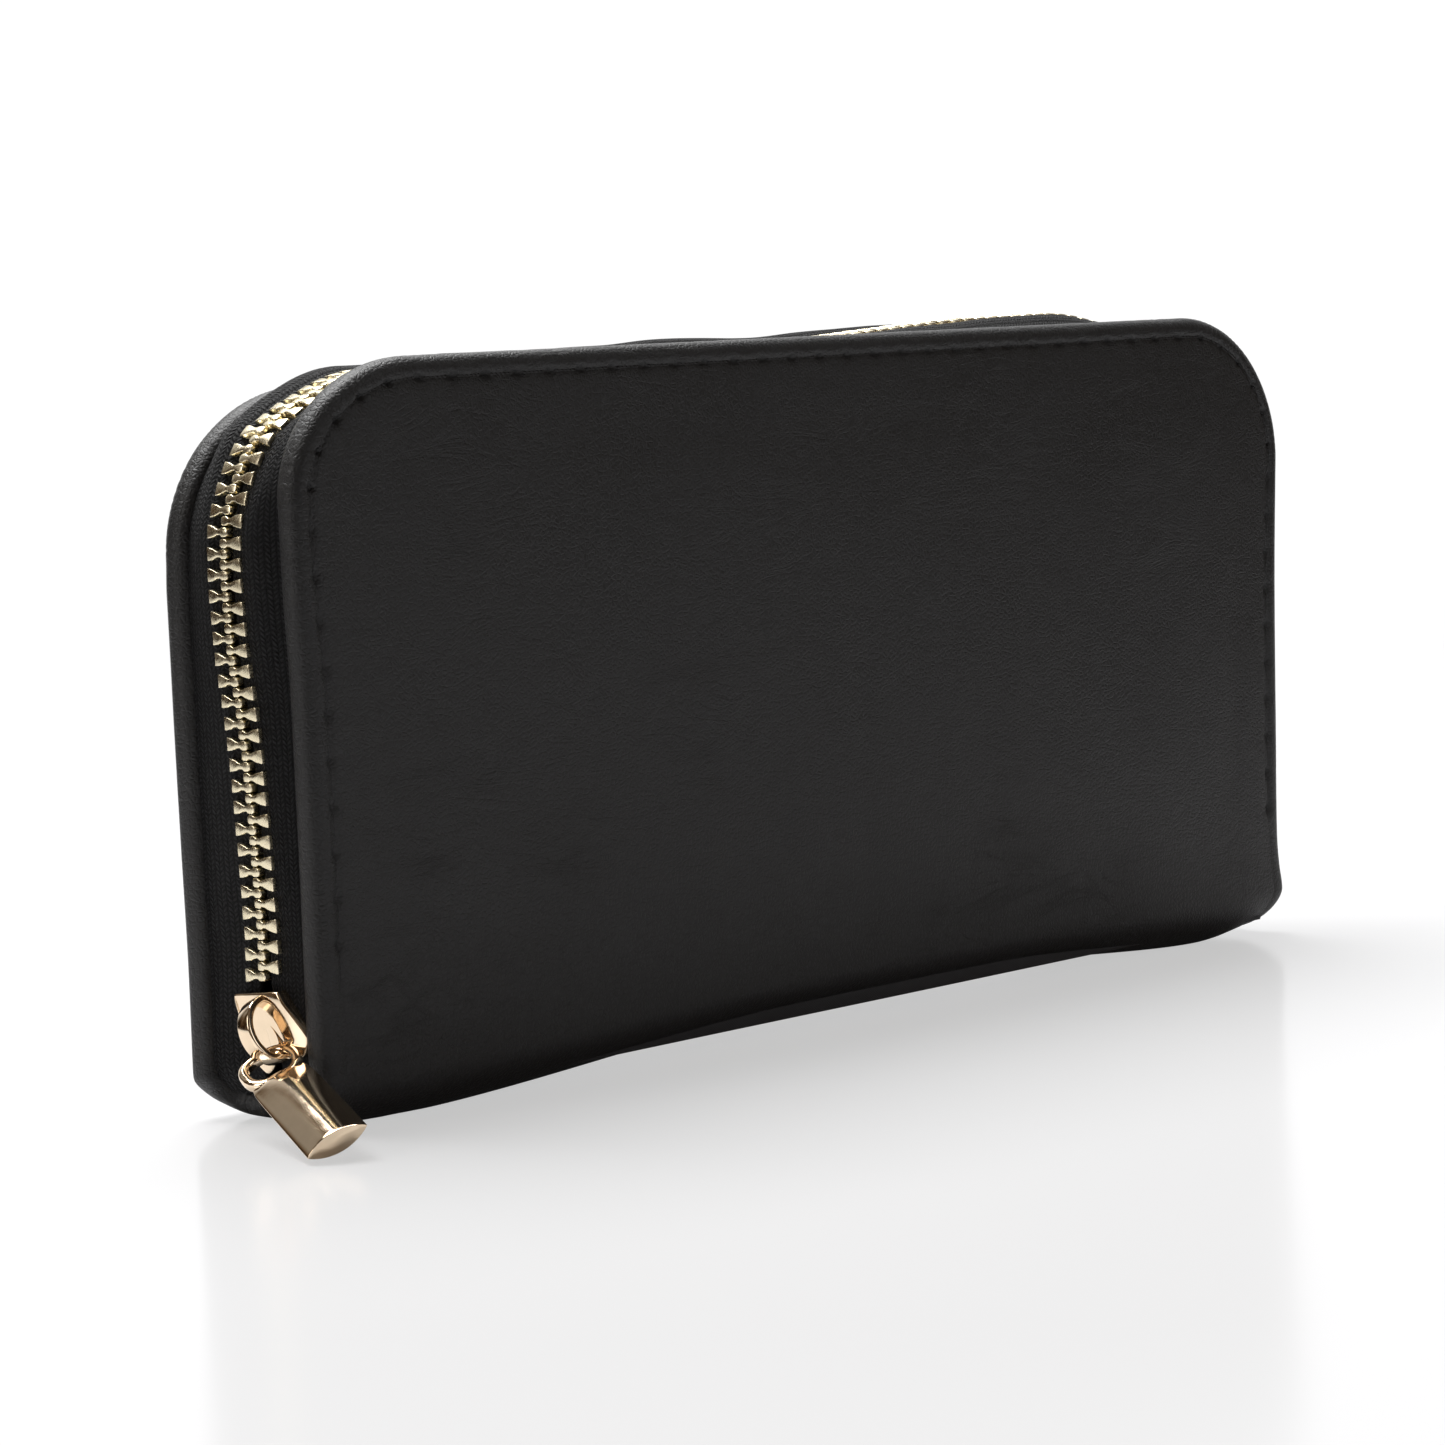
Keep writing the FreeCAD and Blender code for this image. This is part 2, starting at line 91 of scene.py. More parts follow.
def curve(table, x):
    """Smooth curve through (station, value) pairs, with no overshoot."""
    stations, values = np.array(table, float).T
    x = np.clip(np.asarray(x, float), stations[0], stations[-1])
    gap = np.diff(stations)
    grade = np.diff(values) / gap
    slope = np.zeros(len(stations))
    for i in range(1, len(gap)):
        if grade[i - 1] * grade[i] > 0:
            before, after = 2 * gap[i] + gap[i - 1], gap[i] + 2 * gap[i - 1]
            slope[i] = (before + after) / (before / grade[i - 1] + after / grade[i])
    slope[0], slope[-1] = grade[0], grade[-1]
    i = np.clip(np.searchsorted(stations, x) - 1, 0, len(gap) - 1)
    share = (x - stations[i]) / gap[i]
    return (
        values[i] * (1 + 2 * share) * (1 - share) ** 2
        + gap[i] * slope[i] * share * (1 - share) ** 2
        + values[i + 1] * share * share * (3 - 2 * share)
        + gap[i] * slope[i + 1] * share * share * (share - 1)
    )


# ------------------------------------------------------------------ mesh helpers
def add_object(name, data):
    piece = bpy.data.objects.new(name, data)
    scene.collection.objects.link(piece)
    return piece


def shade_smooth(mesh):
    mesh.polygons.foreach_set("use_smooth", np.ones(len(mesh.polygons), bool))


@contextmanager
def editing(mesh):
    """The mesh as a bmesh, written back at the end."""
    edit = bmesh.new()
    edit.from_mesh(mesh)
    yield edit
    edit.to_mesh(mesh)
    edit.free()


def make_mesh(name, verts, faces, uv=None):
    """Object from millimetre vertices; uv holds one millimetre pair per vertex."""
    mesh = bpy.data.meshes.new(name)
    verts = [tuple(vert) for vert in np.asarray(verts, float) * MM]
    mesh.from_pydata(verts, [], [tuple(int(i) for i in face) for face in faces])
    mesh.update()
    if uv is not None:
        layer = mesh.uv_layers.new(name="UVMap")
        index = np.zeros(len(mesh.loops), np.int32)
        mesh.loops.foreach_get("vertex_index", index)
        layer.data.foreach_set("uv", np.asarray(uv, np.float32)[index].ravel())
    shade_smooth(mesh)
    return add_object(name, mesh)


def grid_faces(rows, cols, base=0, wrap_rows=False, wrap_cols=False):
    """Quads over a grid of vertices; wrapping joins the last row or column to the first."""
    faces = []
    for row in range(rows if wrap_rows else rows - 1):
        this, other = base + row * cols, base + (row + 1) % rows * cols
        for col in range(cols if wrap_cols else cols - 1):
            after = (col + 1) % cols
            faces.append((this + col, this + after, other + after, other + col))
    return faces


def tube_faces(rows, cols):
    """Rows of closed sections, capped at both ends."""
    faces = grid_faces(rows, cols, wrap_cols=True)
    caps = [tuple(range(cols))[::-1], tuple(range((rows - 1) * cols, rows * cols))]
    return faces + caps


def grid_mesh(name, rows, cols, point, with_uv=False):
    """Sheet with a vertex point(row, col) at each crossing; UVs are its x and y."""
    verts = np.array([point(row, col) for row in rows for col in cols])
    uv = verts[:, :2] if with_uv else None
    return make_mesh(name, verts, grid_faces(len(rows), len(cols)), uv)


def fix_normals(piece):
    with editing(piece.data) as edit:
        bmesh.ops.remove_doubles(edit, verts=edit.verts, dist=1e-7)
        bmesh.ops.recalc_face_normals(edit, faces=edit.faces)
    return piece


def apply_modifiers(piece):
    graph = bpy.context.evaluated_depsgraph_get()
    mesh = bpy.data.meshes.new_from_object(piece.evaluated_get(graph))
    piece.modifiers.clear()
    piece.data = mesh
    return piece


def solidify(piece, thickness, bevel=0.0, offset=0.0, quality=True):
    """Gives a sheet its thickness and, where asked, softened edges."""
    shell = piece.modifiers.new("thick", "SOLIDIFY")
    shell.thickness = thickness * MM
    shell.offset = offset
    shell.use_quality_normals = quality
    if bevel:
        soft = piece.modifiers.new("soft", "BEVEL")
        soft.width = bevel * MM
        soft.segments = 2
        soft.limit_method = "ANGLE"
        soft.angle_limit = math.radians(50)
    return apply_modifiers(piece)


def prism(name, points, low, high, bevel, segments=2):
    """Closed upright prism from an outline, edges bevelled."""
    edit = bmesh.new()
    face = edit.faces.new([edit.verts.new((x * MM, y * MM, low * MM)) for x, y in points])
    extruded = bmesh.ops.extrude_face_region(edit, geom=[face])["geom"]
    top = [item for item in extruded if isinstance(item, bmesh.types.BMVert)]
    bmesh.ops.translate(edit, verts=top, vec=(0, 0, (high - low) * MM))
    bmesh.ops.recalc_face_normals(edit, faces=edit.faces)
    level, upright = [], []
    for edge in edit.edges:
        if abs(edge.verts[0].co.z - edge.verts[1].co.z) < 1e-9:
            level.append(edge)
        elif edge.calc_face_angle(0) > math.radians(30):
            upright.append(edge)
    bmesh.ops.bevel(
        edit, geom=level + upright, offset=bevel * MM, segments=segments, profile=0.5,
        affect="EDGES", clamp_overlap=True,
    )
    mesh = bpy.data.meshes.new(name)
    edit.to_mesh(mesh)
    edit.free()
    shade_smooth(mesh)
    return add_object(name, mesh)


def join(name, parts):
    edit = bmesh.new()
    for part in parts:
        edit.from_mesh(part.data)
    mesh = bpy.data.meshes.new(name)
    edit.to_mesh(mesh)
    edit.free()
    for part in parts:
        bpy.data.objects.remove(part)
    return add_object(name, mesh)


def coords_mm(piece):
    return np.array([vert.co for vert in piece.data.vertices]) / MM


def placement(origin, along, across, out):
    """Matrix that sets x, y, z along three directions, at a millimetre origin."""
    matrix = Matrix((along, across, out)).transposed().to_4x4()
    matrix.translation = [value * MM for value in origin]
    return matrix


def dress(piece, material, node, body=None):
    """Material, and the CAD node and moving body the piece belongs to."""
    piece.data.materials.append(material)
    if body:
        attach(piece, body)
    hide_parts(node)


def bend(piece, side):
    """Bakes the piece's placement into its mesh; both sides are treated alike."""
    if side > 0:
        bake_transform(piece)
    else:
        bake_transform(piece)


# ---------------------------------------------------------------- node materials
class Graph:
    """Shorthand for building the node tree of a material or world."""

    def __init__(self, owner):
        owner.use_nodes = True
        self.owner = owner
        self.tree = owner.node_tree

    def feed(self, socket, value):
        if isinstance(value, bpy.types.NodeSocket):
            self.tree.links.new(value, socket)
        else:
            socket.default_value = value

    def node(self, kind, settings=None, **inputs):
        node = self.tree.nodes.new("ShaderNode" + kind)
        for name, value in (settings or {}).items():
            setattr(node, name, value)
        for name, value in inputs.items():
            self.feed(node.inputs[name], value)
        return node

    def principled(self, **inputs):
        shader = self.tree.nodes["Principled BSDF"]
        for name, value in inputs.items():
            self.feed(shader.inputs[name.replace("_", " ")], value)
        return self.owner

    def coords(self, kind):
        return self.node("TexCoord").outputs[kind]

    def position(self, scale=(1000.0,) * 3, rotation=(0.0, 0.0, 0.0)):
        """Object coordinates, in millimetres unless scaled otherwise."""
        place = self.coords("Object")
        return self.node("Mapping", Vector=place, Scale=scale, Rotation=rotation).outputs[0]

    def axes(self, vector):
        return self.node("SeparateXYZ", Vector=vector).outputs

    def noise(self, vector, scale, detail=4.0, rough=0.55, distortion=0.0):
        return self.node(
            "TexNoise", Vector=vector, Scale=scale, Detail=detail, Roughness=rough,
            Distortion=distortion,
        ).outputs["Fac"]

    def calc(self, operation, first, second=None):
        node = self.node("Math", {"operation": operation})
        self.feed(node.inputs[0], first)
        if second is not None:
            self.feed(node.inputs[1], second)
        return node.outputs[0]

    def weigh(self, *terms):
        """Sum of two (value, weight) terms."""
        return self.calc("ADD", *[self.calc("MULTIPLY", *term) for term in terms])

    def ramp(self, value, stops):
        node = self.node("ValToRGB", Fac=value)
        elements = node.color_ramp.elements
        while len(elements) < len(stops):
            elements.new(0.5)
        for i, (position, color) in enumerate(stops):
            elements[i].position = position
            elements[i].color = (*color, 1)
        return node.outputs["Color"]

    def remap(self, value, span, to):
        """Carries the range span onto the range to."""
        node = self.node("MapRange")
        for i, item in enumerate((value, *span, *to)):
            self.feed(node.inputs[i], item)
        return node.outputs[0]

    def bump(self, height, strength, distance, **under):
        """Surface relief, distance in millimetres; under may hold a Normal to build on."""
        return self.node(
            "Bump", Height=height, Strength=strength, Distance=distance * MM, **under
        ).outputs["Normal"]

    def mix(self, share, first, second):
        node = self.node("MixShader")
        for i, item in enumerate((share, first, second)):
            self.feed(node.inputs[i], item)
        return node.outputs[0]


def new_material(name):
    return Graph(bpy.data.materials.new(name))


def tint(color, factor):
    return tuple(channel * factor for channel in color)


def leather_mat(name, grain=1.0, base=(0.0105, 0.0105, 0.011), rough=0.47):
    """Smooth coated leather: fine pebble grain, faint long creases, worn sheen."""
    g = new_material(name)
    place = g.position()
    cell = g.node(
        "TexVoronoi", {"feature": "DISTANCE_TO_EDGE"}, Vector=place, Scale=1.55, Randomness=1.0
    ).outputs["Distance"]
    cell = g.remap(cell, span=(0.0, 0.22), to=(0.0, 1.0))
    fine = g.noise(place, scale=3.2, detail=3.0)
    wide = g.noise(place, scale=0.055, detail=3.0, rough=0.6)
    # long shallow creases, stretched along a slanting direction
    slant = g.position(scale=(60.0, 60.0, 190.0), rotation=(0.0, 0.55, 0.0))
    crease = g.noise(slant, scale=1.0, detail=6.0, rough=0.62, distortion=1.1)
    crease = g.calc("ABSOLUTE", g.calc("SUBTRACT", crease, 0.5))
    crease = g.remap(crease, span=(0.0, 0.035), to=(1.0, 0.0))
    patches = g.remap(g.noise(place, scale=0.03, detail=2.0), span=(0.45, 0.66), to=(0.0, 1.0))
    crease = g.calc("MULTIPLY", crease, patches)
    height = g.weigh((cell, 0.55 * grain), (fine, 0.45 * grain))
    height = g.calc("ADD", height, g.calc("MULTIPLY", crease, -0.7))
    relief = g.bump(height, strength=0.8, distance=0.09)
    relief = g.bump(wide, strength=0.25, distance=1.0, Normal=relief)
    color = g.ramp(
        g.weigh((wide, 0.7), (cell, 0.3)), [(0.25, tint(base, 0.82)), (0.75, tint(base, 1.22))]
    )
    sheen = g.remap(
        g.weigh((wide, 0.6), (fine, 0.4)), span=(0.3, 0.7), to=(rough - 0.05, rough + 0.07)
    )
    return g.principled(
        Base_Color=color, Roughness=sheen, Normal=relief, Specular_IOR_Level=0.42
    )


def tape_mat(name, pitch=0.62):
    """Knitted zip tape: slanting ribs, each broken into loops, coloured darker in the hollows as
    painted shade and brighter on the loop tops as a painted highlight. UV and pitch in mm.
    """
    base = (0.0062, 0.0062, 0.0066)
    row = pitch * 1.05
    g = new_material(name)
    along, across = g.axes(g.coords("UV"))[:2]
    wobble = g.noise(g.position(), scale=1.4, detail=2.0)
    chevron = g.calc("MULTIPLY", g.calc("PINGPONG", across, row), 0.75)
    phase = g.calc("ADD", g.calc("ADD", along, chevron), g.calc("MULTIPLY", wobble, 0.5))
    ribs = g.calc("SINE", g.calc("MULTIPLY", phase, 2 * math.pi / pitch))
    breaks = g.calc("SINE", g.calc("MULTIPLY", across, math.pi / row))
    ribs = g.calc("ADD", g.calc("MULTIPLY", ribs, 0.5), 0.5)
    loops = g.calc("MULTIPLY", ribs, g.calc("ABSOLUTE", breaks))
    fuzz = g.noise(g.position(), scale=2.4, detail=4.0, rough=0.75)
    worn = g.noise(g.position(), scale=0.9, detail=2.0)
    height = g.weigh((loops, g.remap(worn, span=(0.3, 0.7), to=(0.45, 1.0))), (fuzz, 1.1))
    # colour follows the height of the knit and its random fuzz: painted shade in the hollows,
    # painted sparkle highlight on the loop tops
    color = g.ramp(height, [(0.30, tint(base, 0.35)), (0.75, base), (1.0, tint(base, 3.2))])
    return g.principled(
        Base_Color=color, Roughness=0.6, Specular_IOR_Level=0.15,
        Normal=g.bump(height, strength=1.0, distance=0.34),
    )


def weave_mat(name, base, pitch=0.34, sheen=0.25):
    """Plain woven cloth, its threads along X and Z."""
    g = new_material(name)
    place = g.position()
    axes = g.axes(place)
    wobble = g.calc("MULTIPLY", g.noise(place, scale=0.9, detail=2.0), 0.25)
    threads = [
        g.calc("SINE", g.calc("MULTIPLY", g.calc("ADD", axes[i], wobble), 2 * math.pi / pitch))
        for i in (0, 2)
    ]
    height = g.calc("ADD", g.calc("MULTIPLY", g.calc("MULTIPLY", *threads), 0.5), 0.5)
    wide = g.noise(place, scale=0.08, detail=3.0)
    relief = g.bump(height, strength=0.45, distance=0.05)
    relief = g.bump(wide, strength=0.35, distance=0.5, Normal=relief)
    color = g.ramp(
        g.weigh((height, 0.6), (wide, 0.4)), [(0.2, tint(base, 0.55)), (0.8, tint(base, 1.35))]
    )
    return g.principled(
        Base_Color=color, Roughness=0.6, Normal=relief, Sheen_Weight=sheen,
        Specular_IOR_Level=0.35,
    )


def gold_mat(name, base, rough):
    """Light gold plating: near-mirror, faint polish lines and rub marks."""
    g = new_material(name)
    place = g.position()
    broad = g.noise(place, scale=0.5, detail=3.0)
    fine = g.noise(place, scale=5.0, detail=5.0, rough=0.7)
    color = g.ramp(broad, [(0.3, tint(base, 0.93)), (0.7, base)])
    polish = g.remap(
        g.weigh((fine, 0.6), (broad, 0.4)), span=(0.35, 0.7), to=(rough * 0.7, rough * 1.9)
    )
    relief = g.bump(broad, strength=0.10, distance=0.12)
    relief = g.bump(fine, strength=0.10, distance=0.01, Normal=relief)
    return g.principled(Base_Color=color, Metallic=1.0, Roughness=polish, Normal=relief)


def board_mat(name):
    """Brown fibre board."""
    g = new_material(name)
    fibres = g.noise(g.position(), scale=1.8, detail=6.0, rough=0.7, distortion=0.6)
    browns = [(0.25, (0.16, 0.11, 0.065)), (0.6, (0.30, 0.22, 0.14)), (0.85, (0.42, 0.33, 0.22))]
    return g.principled(
        Base_Color=g.ramp(fibres, browns), Roughness=0.9,
        Normal=g.bump(fibres, strength=0.5, distance=0.08),
    )


def thread_mat(name):
    """Twisted waxed thread."""
    g = new_material(name)
    twist = g.node(
        "TexWave", {"wave_type": "BANDS", "bands_direction": "DIAGONAL"},
        Vector=g.position(), Scale=0.9, Distortion=0.6,
    ).outputs["Fac"]
    color = g.ramp(twist, [(0.2, (0.002, 0.002, 0.002)), (0.9, (0.011, 0.011, 0.012))])
    return g.principled(
        Base_Color=color, Roughness=0.5, Specular_IOR_Level=0.4,
        Normal=g.bump(twist, strength=0.7, distance=0.08),
    )


LEATHER = leather_mat("cover_leather")
CARD_LEATHER = leather_mat("card_leather", grain=0.8, base=(0.014, 0.014, 0.0145), rough=0.5)
TAPE = tape_mat("zip_tape_knit")
COIN_TAPE = tape_mat("coin_tape_knit", pitch=0.4)
LINING = weave_mat("lining_cloth", base=(0.020, 0.020, 0.023))
GUSSET = weave_mat("gusset_cloth", base=(0.016, 0.016, 0.018), pitch=0.28, sheen=0.3)
THREAD = thread_mat("edge_thread")
BOARD = board_mat("fibre_board")
TEETH_GOLD = gold_mat("teeth_pale_gold", base=(0.87, 0.78, 0.56), rough=0.22)
GOLD = gold_mat("polished_gold", base=(0.95, 0.77, 0.56), rough=0.075)
COIN_GOLD = gold_mat("coin_zip_gold", base=(0.90, 0.75, 0.50), rough=0.14)

# ----------------------------------------------------------- cover leather shape
# Each cover is drawn as a flat sheet: x, and "down", the distance from the top over the
# face and the turn under to the middle of the spine. Depth is measured inwards.
TURN_START = HEIGHT - TURN
TURN_END = TURN_START + math.pi / 2 * TURN
SPINE_MID = TURN_END + SPINE_HALF

# (height, half length) of each cover by the sign of its side
LEFT = {
    -1: [(0, 91.6), (2, 92.8), (5, 94.0), (12, 94.4), (33, 94.2), (52, 94.2), (64, 94.6),
         (75, 94.7)],
    1: [(0, 91.8), (2, 94.2), (5, 96.0), (12, 95.9), (20, 95.8), (33, 95.9), (52, 96.0),
        (64, 96.0), (68, 95.8)],
}
RIGHT = {
    -1: [(0, 91.4), (2, 93.0), (6, 94.6), (10, 94.0), (14, 93.7), (32, 94.3), (52, 95.1),
         (64, 95.7), (71, 96.1)],
    1: [(0, 91.0), (2, 92.8), (6, 94.0), (10, 93.8), (14, 93.6), (32, 93.9), (52, 94.5),
        (64, 95.0), (71, 95.3)],
}
# left and right top corners: centre height, half axis in x, half axis in z;
# the back cover droops towards its left corner
CORNERS = {
    -1: ((75.0, 20.0, 16.7), (71.0, 20.8, 20.7)),
    1: ((68.0, 22.0, 20.5), (71.0, 20.8, 20.4)),
}
N_SIDE, N_ARC, N_TOP = 128, 104, 196  # outline points on a side, a corner and the top


def turn_angle(down):
    return np.clip((down - TURN_START) / TURN, 0, math.pi / 2)


def height_of(down):
    """Height of a point of the sheet, for the outline only."""
    return np.where(
        down <= TURN_START, HEIGHT - down, TURN - TURN * np.sin(turn_angle(down))
    )


def lift(x):
    """The spine stands near its two ends: arched middle, raised right tip."""
    middle = 3.0 * smooth(-80, -8, x) * (1 - smooth(28, 84, x))
    return middle + 1.2 * smooth(77, 93, x)


def sheet_point(side, x, down, depth):
    """Flat sheet coordinates to (x, y, z)."""
    angle, on_face = turn_angle(down), down <= TURN_START
    past_turn = np.clip(down - TURN_END, 0, None)
    under = SPINE_HALF + (TURN - depth) * np.cos(angle) - past_turn
    y = np.where(on_face, HALF_DEPTH - depth, under)
    z = np.where(on_face, HEIGHT - down, TURN - (TURN - depth) * np.sin(angle))
    rise = lift(x) * np.exp(-np.clip(z, 0, None) / 9.0) * (1 - smooth(30, 60, z))
    return np.stack([x, side * y, z + rise], -1)


def outline(side):
    """Cover outline (x, down), from the left of the spine over the top to its right."""
    (left_z, left_rx, left_rz), (right_z, right_rx, right_rz) = CORNERS[side]
    left_x = left_rx - curve(LEFT[side], left_z)
    right_x = curve(RIGHT[side], right_z) - right_rx
    left_down, right_down = HEIGHT - left_z, HEIGHT - right_z
    down = SPINE_MID + (left_down - SPINE_MID) * (np.arange(N_SIDE) / N_SIDE)
    parts = [(-curve(LEFT[side], height_of(down)), down)]
    angle = np.linspace(0, math.pi / 2, N_ARC, endpoint=False)
    parts.append((left_x - left_rx * np.cos(angle), left_down - left_rz * np.sin(angle)))
    x = np.linspace(left_x, right_x, N_TOP)
    share = smooth(0.0, 0.55, (x - left_x) / (right_x - left_x))
    parts.append((x, (left_down - left_rz) * (1 - share) + (right_down - right_rz) * share))
    angle = np.linspace(0, math.pi / 2, N_ARC + 1)[1:]
    parts.append((right_x + right_rx * np.sin(angle), right_down - right_rz * np.cos(angle)))
    down = right_down + (SPINE_MID - right_down) * (np.arange(1, N_SIDE + 1) / N_SIDE)
    parts.append((curve(RIGHT[side], height_of(down)), down))
    return np.concatenate([np.column_stack(part) for part in parts])


def unit_rows(vectors):
    return vectors / np.linalg.norm(vectors, axis=-1, keepdims=True)


def directions(edge):
    """Unit directions inwards from an outline and along it."""
    along = unit_rows(np.gradient(edge, axis=0))
    inward = np.column_stack((-along[:, 1], along[:, 0]))
    inward[0] = (1, 0)
    inward[-1] = (-1, 0)
    return inward, along


def arc_length(edge):
    return np.concatenate([[0], np.cumsum(np.linalg.norm(np.diff(edge, axis=0), axis=1))])


# ------------------------------------------------------------------ cover shells
GROOVE_TOP, GROOVE_SIDE = 2.75, 3.3  # stitch line distance from the edge
STITCH = 5.45  # stitch pitch
STITCH_END = 73.5  # stitching stops above the turn under

# rolled edge and stitch groove: (inset from the outline, depth)
PROFILE = [
    (3.0, 4.15), (2.2, 4.2), (1.4, 4.15), (0.75, 3.9), (0.3, 3.4), (0.06, 2.7), (0.0, 2.0),
    (0.08, 1.35), (0.35, 0.75), (0.8, 0.33), (1.35, 0.1), (1.85, 0.05), (2.25, 0.12),
    (2.52, 0.27), (2.7, 0.33), (2.88, 0.28), (3.1, 0.15), (3.5, 0.05), (4.2, -0.04),
    (5.2, -0.08), (6.4, -0.12), (8.0, -0.18),
]
OUTER_ROLL, FACE = 4, 9  # profile rows where the outer roll and the face begin
GROOVE_ROW = 2.7  # profile inset of the groove's bottom

# use wrinkles: centre x and down, direction, width, depth
WRINKLES = (
    (-62, 72, 0.9, -0.45, 2.6, 0.05), (-50, 78, 0.98, -0.2, 2.2, 0.05),
    (66, 68, -0.85, -0.52, 2.8, 0.05), (58, 78, -0.99, -0.12, 2.2, 0.05),
    (8, 80, 1.0, -0.03, 2.4, 0.05), (-20, 58, 0.9, 0.43, 3.0, 0.03),
)
PANEL_HALF, PANEL_TOP = 58.0, 42.0  # inner panel of the cover grid, x and down
BLEND_ROWS = 26


def groove_inset(edge):
    return GROOVE_TOP + (GROOVE_SIDE - GROOVE_TOP) * smooth(18, 40, edge[:, 1])


def crown(side, x, down):
    """Depth of the padded face: negative swells outwards."""
    margin = np.minimum(np.minimum(x + 94, 94 - x), down)
    depth = -0.18 - 0.42 * smooth(3, 26, margin) * (1 - 0.8 * smooth(60, 86, down))
    # faint upright hollow down the middle
    hollow = np.exp(-(((x + 1.5 * side) / 2.4) ** 2))
    depth += 0.05 * hollow * smooth(12, 30, down) * (1 - smooth(74, 84, down))
    for x0, down0, run_x, run_down, width, amount in WRINKLES:
        along = (x - x0) * run_x + (down - down0) * run_down
        across = -(x - x0) * run_down + (down - down0) * run_x
        across = across + 1.2 * np.sin(along / 9.0 + x0)
        depth += amount * np.exp(-((across / width) ** 2)) * np.exp(-((along / 15.0) ** 2))
    waves = np.sin(x / 23.0 + 0.8 * side) * np.sin(down / 17.0 + 0.4)
    return depth + 0.07 * waves * smooth(5, 25, margin)


def corner_pleats(edge, run):
    """Small gathers of the leather round the two top corners, 0 to 1."""
    reach = np.hypot(np.maximum(np.abs(edge[:, 0]) - 74, 0), np.maximum(21 - edge[:, 1], 0))
    corner = smooth(4, 17, reach) * (edge[:, 1] < 23)
    phase = run / 1.05 + 0.55 * np.sin(run / 1.9) + 0.5 * np.sin(run / 4.3 + 1)
    uneven = 0.55 + 0.45 * np.sin(run / 1.37 + np.sin(run / 3.1))
    return corner * (0.5 + 0.5 * np.sin(2 * np.pi * phase)) ** 2 * uneven


def blurred(vectors):
    """Unit vectors smoothed along the outline, Gaussian over 73 points."""
    kernel = np.exp(-0.5 * (np.arange(-36, 37) / 14.0) ** 2)
    kernel /= kernel.sum()
    return unit_rows(np.column_stack([
        np.convolve(np.pad(column, 36, mode="edge"), kernel, mode="valid")
        for column in vectors.T
    ]))


def cover_surface(side):
    """Outer skin: edge profile rows, rows blending inwards, then a square panel grid."""
    edge = outline(side)
    inward, _ = directions(edge)
    soft_inward = blurred(inward)
    run = arc_length(edge)
    widen = groove_inset(edge) / GROOVE_TOP
    sewn = 1 - smooth(STITCH_END, 75.0, edge[:, 1])
    phase = np.mod(run / STITCH, 1.0)
    hole = np.exp(-((np.minimum(phase, 1 - phase) / 0.085) ** 2)) * sewn
    span = np.cos(np.pi * (phase - 0.5)) ** 2 * sewn
    pleat = corner_pleats(edge, run)
    slow = 0.035 * np.sin(run / 9.7) + 0.03 * np.sin(run / 23.0 + 1.7)
    verts, flat = [], []

    def add_row(row, depth):
        verts.append(sheet_point(side, row[:, 0], row[:, 1], depth))
        flat.append(row)

    for i, (inset, depth) in enumerate(PROFILE):
        soft = float(smooth(0.8, 6.0, inset))
        normal = unit_rows(inward * (1 - soft) + soft_inward * soft)
        scale = widen if inset > 0.3 else np.ones_like(run)
        row = edge + normal * (inset * scale)[:, None]
        if i >= FACE:
            narrow = math.exp(-(((inset - GROOVE_ROW) / 0.45) ** 2))
            broad = math.exp(-(((inset - GROOVE_ROW) / 1.3) ** 2))
            depth = depth + 0.52 * hole * narrow - 0.05 * span * broad
            depth = depth - (1 - sewn) * 0.24 * narrow
            depth = depth + 0.06 * pleat * math.exp(-(((inset - 1.5) / 0.9) ** 2)) + slow
        elif i >= OUTER_ROLL:
            depth = depth + 0.045 * pleat + slow * (i - OUTER_ROLL + 1) / 6
            row = row + normal * (0.045 * pleat)[:, None]
        add_row(row, depth)

    # slide the points evenly round the three sides of the inner panel
    corner = N_SIDE + N_ARC // 2
    panel_x = np.linspace(-PANEL_HALF, PANEL_HALF, len(edge) - 2 * corner)
    panel_down = SPINE_MID + (PANEL_TOP - SPINE_MID) * np.linspace(0, 1, corner + 1)
    ends, rise = np.full(corner, PANEL_HALF), panel_down[:-1]
    inner = np.column_stack((
        np.concatenate([-ends, panel_x, ends]),
        np.concatenate([rise, np.full(len(panel_x), PANEL_TOP), rise[::-1]]),
    ))
    last, last_depth = flat[-1], PROFILE[-1][1] + slow
    for j in range(1, BLEND_ROWS + 1):
        row = last + (inner - last) * (j / BLEND_ROWS)
        share = smooth(0, 9, np.linalg.norm(inner - last, axis=1) * (j / BLEND_ROWS))
        face = crown(side, row[:, 0], row[:, 1])
        add_row(row, (1 - share) * last_depth + share * face)
    faces = grid_faces(len(verts), len(edge))

    base = len(verts) * len(edge)
    x, down = (grid.ravel() for grid in np.meshgrid(panel_x, panel_down))
    add_row(np.column_stack((x, down)), crown(side, x, down))
    faces += [face[::-1] for face in grid_faces(corner + 1, len(panel_x), base=base)]
    return np.concatenate(verts), faces, np.concatenate(flat)


def make_cover(name, side):
    piece = fix_normals(make_mesh(name, *cover_surface(side)))
    # the large face has to point away from the middle plane
    centers = np.array([face.center for face in piece.data.polygons])
    normals = np.array([face.normal for face in piece.data.polygons])
    on_face = np.abs(centers[:, 1]) > 0.0115
    if (normals[on_face, 1] * side).mean() < 0:
        piece.data.flip_normals()
    return piece


def keep_beyond(piece, y, direction):
    """Cuts at a plane across Y and keeps the part on the side of the direction."""
    with editing(piece.data) as edit:
        bmesh.ops.bisect_plane(
            edit, geom=edit.verts[:] + edit.edges[:] + edit.faces[:],
            plane_co=Vector((0, y, 0)) * MM, plane_no=Vector((0, direction, 0)),
            clear_inner=True, dist=1e-8,
        )


